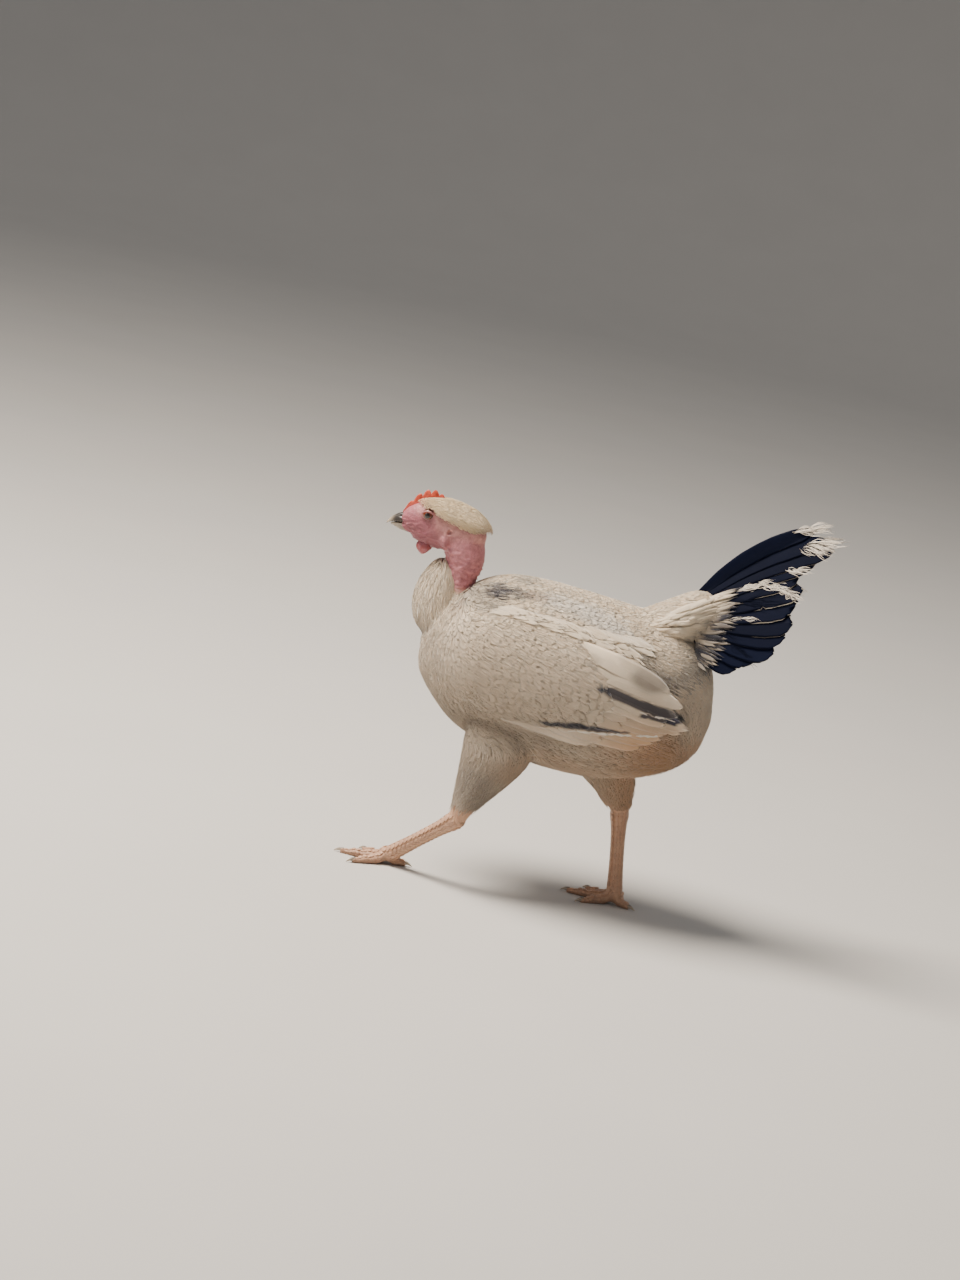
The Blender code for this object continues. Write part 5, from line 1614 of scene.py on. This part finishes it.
def build_bib():
    """The tuft that hangs over the front of the neck."""
    sizes, colours = settings()
    rng = np.random.default_rng(SEED + 3)
    forms = [upright(BIB, 6, 48, 1.2), lengthways(TORSO, 4, 64, 0.6, TORSO_SQUARENESS),
             egg((-120, 0, 221), (14, 23, 15))]
    surface = Surface(*fused(forms, 1.8, 9))
    full = sizes.tuft_feather / MM
    for name, gap, half, rows, cols, outline, sink, tops, replaced in (
        ("throat_tuft", 2.6, 0.21, 8, 5, SHORT_VANE, -0.7, (0.2, 0.5), "bib"),
        ("throat_down", 1.3, 0.035, 4, 3, STRAND, -0.1, (0.4, 1.0), None),
    ):
        spots, _ = surface.scatter(90000, rng)
        back = np.interp(spots[:, 2], (203, 226, 244, 262), (-108, -109, -106, -101))
        spots = spots[(spots[:, 0] < back) & (spots[:, 2] > 203)]
        spots = spots[spaced(spots, np.full(len(spots), gap))]
        spots = spots[np.argsort(spots[:, 2])]
        count = len(spots)
        long = full * np.interp(spots[:, 2], (200, 214, 240, 262), (0.9, 1.0, 1.0, 0.7))
        long = long * rng.uniform(0.8, 1.12, count)
        lies = np.tile((0.18, 0.0, -1.0), (count, 1)) + rng.normal(scale=0.1, size=(count, 3))
        laid = lay(surface, spots, lies, long, long * half, sink, rng.uniform(*tops, count), rng, rows=rows,
                   cols=cols, outline=outline, camber=0.15, fringe=0.2)
        # Creamier higher up: a painted highlight on the top of the tuft.
        shades = mixed(coat_colours(spots, colours, rng), colours.cream, 0.85 * smooth(208, 226, spots[:, 2]))
        feather_object(name, *laid, body_plumage(colours), shades, skin_unwrap(spots), replaced=replaced)


def build_cap():
    """Short hair-like feathers over the crown and the back of the head."""
    sizes, colours = settings()
    rng = np.random.default_rng(SEED + 4)
    surface = Surface(*fused([lengthways(CAP, 6, 56, 0.8, 2.15)], 1.1, 2))
    finish = shared("Cap plumage", plumage_finish, tuple(colours.white), 0.8, 0.35, 0.45)
    full = sizes.crown_feather / MM
    for name, gap, half, rows, cols, sink, top, replaced in (
        ("cap_feathers", 1.25, 0.17, 5, 5, -0.7, 0.15, "crown_cap"),
        ("cap_down", 0.72, 0.055, 4, 3, 0.0, 0.5, None),
    ):
        spots, _ = surface.scatter(30000, rng)
        x, y, z = spots.T
        over = z - np.interp(x, CAP_EDGE_X, CAP_EDGE_Z) + rng.normal(scale=0.7, size=len(x))
        eye = np.hypot(x - EYE_CENTRE[0], z - EYE_CENTRE[2])
        spots, over = pick((over > 0) & (eye > 6.2) & ~((np.abs(y) < 2.2) & (x < -139)), spots, over)
        kept = spaced(spots, gap * np.interp(spots[:, 0], (-160, -130), (0.75, 1.0)))
        spots, over = pick(kept, spots, over)
        spots, over = pick(np.argsort(-spots[:, 0]), spots, over)
        count = len(spots)
        long = full * np.interp(spots[:, 0], (-162, -140, -110), (0.5, 0.85, 1.15))
        long = long * rng.uniform(0.8, 1.2, count) * np.interp(over, (0, 7), (0.45, 1.0))
        long = long * np.interp(spots[:, 0], (-110, -101, -97), (1.0, 0.6, 0.4))
        outwards = np.sign(spots[:, 1]) * 0.1 * smooth(0, 8, np.abs(spots[:, 1]))
        lies = np.stack([np.ones(count), outwards, np.full(count, -0.32)], 1)
        lies = lies + rng.normal(scale=0.12, size=(count, 3))
        tops = top + rng.uniform(0, 0.5, count)
        laid = lay(surface, spots, lies, long, long * half, sink, tops, rng, rows=rows, cols=cols,
                   camber=0.15, uneven=0.05, twist=0.03)
        shades = mixed(coat_colours(spots, colours, rng), colours.crown, 0.8)
        nape = smooth(-112, -97, spots[:, 0]) * smooth(304, 290, spots[:, 2])
        shades = mixed(shades, colours.rust, 0.45 * nape)
        feather_object(name, *laid, finish, shades, skin_unwrap(spots), replaced=replaced)


# Wings and tail.


def on_flank(feathers, flank, slope, rises, rng, outline=LONG_VANE, thickness=0.24, camber=0.3, rows=26,
             cols=9, uneven=0.01, splits=0.3, fringe=0.03):
    """Feathers of the left side over a flank, from rows of root x and z, tip x and z, half width and bend."""
    shares, faces_up, quads = vane_grid(rows, cols)
    f = np.asarray(feathers, float)
    run, climb = f[:, 2] - f[:, 0], f[:, 3] - f[:, 1]
    length = np.hypot(run, climb)
    along_x, along_z = (run / length)[:, None], (climb / length)[:, None]
    v = shares[None, :, 0] - frayed(len(f), shares, rng, fringe)
    u = shares[None, :, 1] * ragged(len(f), shares, rng, uneven, splits)
    across = u * outline_at(outline, shares[:, 0])[None] * f[:, 4:5]
    bow = f[:, 5:6] * np.sin(np.pi * v) + across
    x = f[:, :1] + run[:, None] * v - along_z * bow
    z = f[:, 1:2] + climb[:, None] * v + along_x * bow
    lift = rises[0] + (rises[1] - rises[0]) * np.minimum(1, v / ROOT_SHARE)
    height = camber * (1 - u**2) + faces_up[None] * thickness / 2 * (1 - 0.6 * v)
    y = flank(x, z) + lift - slope * across + height
    return np.stack([x, -y, z], 2), quads, np.stack([across, v * length[:, None]], 2), shares


def both_sides(name, points, quads, size, finish, shades, slot="white_plumage", replaced=None, pale=None):
    """A left piece and its mirror image."""
    for key, side in SIDES.items():
        places = points * (1, -side, 1)
        feather_object(f"{name}_{key}", places, quads, size, finish, shades, skin_unwrap(places[:, 0]), slot,
                       replaced and f"{replaced}_{key}", pale, side == RIGHT)


def tier_rows(tier, rng):
    """The feathers of one tier of the wing, lowest first."""
    count, roots, tips, rises, half, bend = WING_TIERS[tier]
    share = np.linspace(0, 1, count)[:, None]
    root = np.array(roots[0]) * (1 - share) + np.array(roots[1]) * share
    tip = np.array(tips[0]) * (1 - share) + np.array(tips[1]) * share
    tip = tip + rng.normal(scale=1.2, size=tip.shape)
    return np.hstack([root, tip, np.full((count, 1), half), np.full((count, 1), bend)]), rises


def build_wings():
    """The flight feathers of both folded wings, tier by tier, with their dark streaks and white edges."""
    _, colours = settings()
    rng = np.random.default_rng(SEED + 6)
    finish = shared("Wing plumage", plumage_finish, tuple(colours.white), 0.75, 0.3, 0.4)
    for order, tier in enumerate(WING_TIERS):
        feathers, rises = tier_rows(tier, rng)
        points, quads, size, _ = on_flank(feathers, wing_side, WING_SHINGLE, rises, rng, thickness=0.14,
                                          camber=0.2, rows=30)
        shades = plumage_at(points.reshape(-1, 3), colours).reshape(points.shape)
        shades = streaked(points, shades * rng.uniform(0.95, 1.03, (len(feathers), 1, 1)), colours, rng)
        pale = streak_share(points, WING_EDGES, rng)
        both_sides(f"wing_{tier}", points, quads, size, finish, shades, replaced=None if order else "wing",
                   pale=pale)


def streak_share(points, streaks, rng):
    """How surely each point lies on one of these streaks of the folded wing."""
    flat = points.reshape(-1, 3)
    x, y, z = flat.T
    near = np.flatnonzero((np.abs(y) > 30) & (np.abs(x - 40) < 64) & (np.abs(z - 181) < 28))
    places = flat[near] * (1, 0, 1)
    rough = 0.9 * roughness_at(places * (0.3, 0, 1.3), 2.2, 5)
    found = np.zeros(len(flat))
    for (x0, z0), (x1, z1), first, last in streaks:
        far, share = near_line(places, (x0, 0, z0), (x1, 0, z1))
        half = first + (last - first) * share
        found[near] = np.maximum(found[near], smooth(half * 1.12, half * 0.88, far + rough))
    return found.reshape(points.shape[:2]) * rng.uniform(0.9, 1.0, (len(points), 1))


def streaked(points, shades, colours, rng):
    """Feather colours with the folded wing's dark streaks over them."""
    return mixed(shades, np.array(colours.night) * 2, streak_share(points, WING_STREAKS, rng))


def build_tail():
    """The tail's feathers, its halves a little different, then its loose barbs and the saddle."""
    _, colours = settings()
    rng = np.random.default_rng(SEED + 7)
    finish = shared("Tail plumage", plumage_finish, tuple(colours.white), 0.65, 0.0, 0.0, 0.06)
    table = np.array([(*root, *tip, half, bend) for root, tip, half, bend in TAIL_FEATHERS])
    steps = np.linspace(0, len(table) - 1, TAIL_COUNT)
    whole = np.arange(len(table))
    for key, side in SIDES.items():
        mine = table.copy()
        if side == RIGHT:
            shift = TAIL_UNEVEN * np.sin(1.7 * whole + 1)
            mine[:, 2] -= np.abs(shift)
            mine[:, 3] -= shift
        mine = np.stack([np.interp(steps, whole, mine[:, c]) for c in range(6)], 1)
        mine[1:-1, 2:4] += rng.normal(scale=1.3, size=(TAIL_COUNT - 2, 2))
        mine[:, 4] *= 0.82
        margin, white = (np.interp(steps, whole, a) for a in (TAIL_MARGIN, TAIL_WHITE_TIP))
        points, quads, size, shares = on_flank(mine, tail_flank, TAIL_SHINGLE, (0.0, 0.0), rng, rows=40,
                                               cols=13, thickness=0.35, uneven=0.006, splits=0.4, fringe=0.035)
        v, across = shares[None, :, 0], np.abs(shares[None, :, 1])
        edge = across**7 * smooth(0.3, 0.6, v) * margin[:, None]
        edge = np.maximum(edge, smooth(0.84, 1.0, v) * white[:, None])
        shades = plain(colours.night, len(mine), len(shares))
        shades = shades * (0.8 + 0.4 * rng.random((len(mine), 1, 1)))
        places = points * (1, -side, 1)
        feather_object(f"tail_feathers_{key}", places, quads, size, finish, shades, skin_unwrap(places[:, 0]),
                       "tail_feathers", "tail" if side == LEFT else None, edge, side == RIGHT)
    build_tail_barbs(finish, colours, rng)
    build_saddle(colours, rng)


def build_tail_barbs(finish, colours, rng):
    """Loose barbs: white ones at the frayed tips and the white margin, dark ones round the lower fan."""
    rows, pale = [], []
    for (x0, z0), (x1, z1), turn, long, count, light in TAIL_FRAY:
        share = rng.random(count)
        root = np.stack([x0 + (x1 - x0) * share, z0 + (z1 - z0) * share], 1)
        root = root + rng.normal(scale=0.8, size=(count, 2))
        angle = np.radians(turn) + rng.normal(scale=0.13, size=count)
        reach = long * rng.uniform(0.5, 1.15, count)
        tip = root + np.stack([np.cos(angle), np.sin(angle)], 1) * reach[:, None]
        half, bend = rng.uniform(0.14, 0.3, (count, 1)), rng.normal(scale=1.5, size=(count, 1))
        rows.append(np.hstack([root, tip, half, bend]))
        pale.append(np.full(count, light))
    rows, pale = np.vstack(rows), np.concatenate(pale)
    points, quads, size, shares = on_flank(rows, tail_flank, 0.05, (0.3, 1.0), rng, STRAND, 0.1, 0.05, 6, 3,
                                           0.0, 0.0, 0.0)
    points[..., 1] -= rng.uniform(-0.3, 0.7, (len(rows), 1))
    shades = plain(colours.night, len(rows), len(shares))
    shades = mixed(shades, colours.white, np.broadcast_to(pale[:, None], shades.shape[:2]))
    both_sides("tail_barbs", points, quads, size, finish, shades, "tail_feathers")


def build_saddle(colours, rng):
    """Narrow feathers from the rump over the tail's root, white and turning grey towards the tail."""
    count = SADDLE_COUNT
    share = rng.random(count)
    x = 42 + 50 * np.sqrt(rng.random(count))
    low, high = np.interp(x, (42, 92), (228, 236)), np.interp(x, (42, 70, 92), (252, 266, 280))
    z = low + (high - low) * share
    long = rng.uniform(24, 36, count) * (0.75 + 0.25 * share) * np.interp(x, (42, 62), (0.75, 1.0))
    angle = np.radians(np.interp(share, (0, 0.5, 1), (-14, 10, 30)) + rng.normal(scale=5, size=count))
    rows = np.stack([x, z, x + np.cos(angle) * long, z + np.sin(angle) * long,
                     rng.uniform(1.3, 2.4, count), rng.normal(scale=1.2, size=count)], 1)
    rows = rows[np.argsort(-rows[:, 0])]
    points, quads, size, _ = on_flank(rows, rump_side, 0.1, (-0.8, 1.6), rng, NARROW_VANE, 0.12, 0.25, 10, 5,
                                      0.03, 0.1, 0.15)
    points[..., 1] -= rng.uniform(-0.4, 0.8, (count, 1)) - 1.7 * smooth(76, 46, rows[:, :1])
    flat = points.reshape(-1, 3)
    onset = np.interp(flat[:, 2], (244, 262, 280), (82, 94, 104))
    each = 0.2 * np.repeat(rng.normal(size=count), points.shape[1]) * smooth(86, 100, flat[:, 0])
    grey = np.clip(smooth(onset - 4, onset + 14, flat[:, 0]) + each, 0, 1)
    shades = mixed(plain(colours.cream, len(flat)), colours.smoke_and_shade, grey)
    shades = mixed(shades, colours.night, smooth(0.75, 1.0, grey) * 0.8).reshape(*points.shape[:2], 3)
    both_sides("saddle_feathers", points, quads, size, body_plumage(colours), shades)


# The studio.


def lamp(name, place, size, power, colour):
    """A round soft light that faces the bird."""
    data = bpy.data.lights.new(name, "AREA")
    data.shape = "DISK"
    data.size, data.energy, data.color = size, power, colour
    made = bpy.data.objects.new(name, data)
    made.location = place
    made.rotation_euler = (Vector(LIT) - Vector(place)).to_track_quat("-Z", "Y").to_euler()
    bpy.context.scene.collection.objects.link(made)


def build_stage():
    """A round floor that curves up far from the bird, a pale sky, three lights and the camera."""
    scene = bpy.context.scene
    turn = np.linspace(0, 2 * np.pi, 96, endpoint=False)
    rise = np.linspace(0, np.pi / 2, 16)
    reach = np.concatenate([[0.5, 3.5], 4.5 + 2.5 * np.sin(rise)])
    height = np.concatenate([[0.0, 0.0], 2.5 * (1 - np.cos(rise))])
    rings = np.stack([np.outer(reach, np.cos(turn)), np.outer(reach, np.sin(turn)),
                      np.outer(height, np.ones(96))], 2)
    faces = grid_faces(len(reach), 96, True).tolist() + [list(range(96))]
    mesh = mesh_of("floor", rings.reshape(-1, 3) / MM, faces)
    mesh.shade_smooth()
    new_object("floor", mesh, shared("Floor paint", floor_finish, FLOOR_COLOUR))
    world = bpy.data.worlds.new("studio")
    world.use_nodes = True
    sky = world.node_tree.nodes["Background"]
    sky.inputs["Color"].default_value, sky.inputs["Strength"].default_value = SKY_COLOUR, SKY_STRENGTH
    scene.world = world
    for row in LIGHTS:
        lamp(*row)
    data = bpy.data.cameras.new("camera")
    data.lens, data.sensor_width, data.sensor_fit = CAMERA_LENS, 36, "AUTO"
    camera = bpy.data.objects.new("camera", data)
    right, up = Vector(CAMERA_RIGHT), Vector(CAMERA_UP)
    turn = Matrix((right, up, right.cross(up))).transposed().to_4x4()
    camera.matrix_world = Matrix.Translation(CAMERA_PLACE) @ turn
    scene.collection.objects.link(camera)
    scene.camera = camera


# The add-on.


class PULLET_OT_skin(bpy.types.Operator):
    """Builds the skin of the whole bird with its lids and folds, and the neck's follicles"""

    bl_idname = "pullet.skin"
    bl_label = "Skin"
    bl_options = {"REGISTER", "UNDO"}

    def execute(self, context):
        build_follicles(Surface(*arrays_of(build_skin().data)))
        return {"FINISHED"}


class PULLET_OT_head(bpy.types.Operator):
    """Builds the eyes, the bill, the comb and the wattles"""

    bl_idname = "pullet.head"
    bl_label = "Eyes, bill and comb"
    bl_options = {"REGISTER", "UNDO"}

    def execute(self, context):
        build_eyes()
        build_bill()
        build_comb()
        build_wattles()
        return {"FINISHED"}


class PULLET_OT_feet(bpy.types.Operator):
    """Builds the plates of the legs and the claws"""

    bl_idname = "pullet.feet"
    bl_label = "Leg plates and claws"
    bl_options = {"REGISTER", "UNDO"}

    def execute(self, context):
        build_plates()
        build_claws()
        return {"FINISHED"}


class PULLET_OT_coat(bpy.types.Operator):
    """Lays the feathers of trunk, thighs, shoulders, throat and crown"""

    bl_idname = "pullet.coat"
    bl_label = "Body plumage"
    bl_options = {"REGISTER", "UNDO"}

    def execute(self, context):
        surface = build_coat()
        build_down(surface)
        build_scapulars(surface)
        build_bib()
        build_cap()
        return {"FINISHED"}


class PULLET_OT_wings(bpy.types.Operator):
    """Lays the tiers of the folded wings"""

    bl_idname = "pullet.wings"
    bl_label = "Wings"
    bl_options = {"REGISTER", "UNDO"}

    def execute(self, context):
        build_wings()
        return {"FINISHED"}


class PULLET_OT_tail(bpy.types.Operator):
    """Lays the tail's feathers, their loose barbs and the saddle over their roots"""

    bl_idname = "pullet.tail"
    bl_label = "Tail"
    bl_options = {"REGISTER", "UNDO"}

    def execute(self, context):
        build_tail()
        return {"FINISHED"}


class PULLET_OT_stage(bpy.types.Operator):
    """Sets the floor, the soft lights and the camera"""

    bl_idname = "pullet.stage"
    bl_label = "Studio"
    bl_options = {"REGISTER", "UNDO"}

    def execute(self, context):
        build_stage()
        return {"FINISHED"}


OPERATORS = (PULLET_OT_skin, PULLET_OT_head, PULLET_OT_feet, PULLET_OT_coat, PULLET_OT_wings, PULLET_OT_tail,
             PULLET_OT_stage)


class PULLET_PT_panel(bpy.types.Panel):
    """Lists the pieces in the order that they are built in"""

    bl_label = "Naked-neck pullet"
    bl_idname = "PULLET_PT_panel"
    bl_space_type = "VIEW_3D"
    bl_region_type = "UI"
    bl_category = "Pullet"

    def draw(self, context):
        for group in (context.scene.pullet_sizes, context.scene.pullet_colours):
            box = self.layout.box()
            for key in group.bl_rna.properties.keys():
                if key not in ("rna_type", "name"):
                    box.prop(group, key)
        for made in OPERATORS:
            self.layout.operator(made.bl_idname)


CLASSES = (PULLET_PG_sizes, PULLET_PG_colours, *OPERATORS, PULLET_PT_panel)


def register():
    """Adds the operators, the panel and the settings."""
    for made in CLASSES:
        bpy.utils.register_class(made)
    bpy.types.Scene.pullet_sizes = PointerProperty(type=PULLET_PG_sizes)
    bpy.types.Scene.pullet_colours = PointerProperty(type=PULLET_PG_colours)


def unregister():
    """Takes them out again."""
    del bpy.types.Scene.pullet_colours
    del bpy.types.Scene.pullet_sizes
    for made in reversed(CLASSES):
        bpy.utils.unregister_class(made)


def main():
    """Registers the add-on and builds everything."""
    register()
    for made in OPERATORS:
        group, name = made.bl_idname.split(".")
        getattr(getattr(bpy.ops, group), name)()


if __name__ == "__main__":
    main()
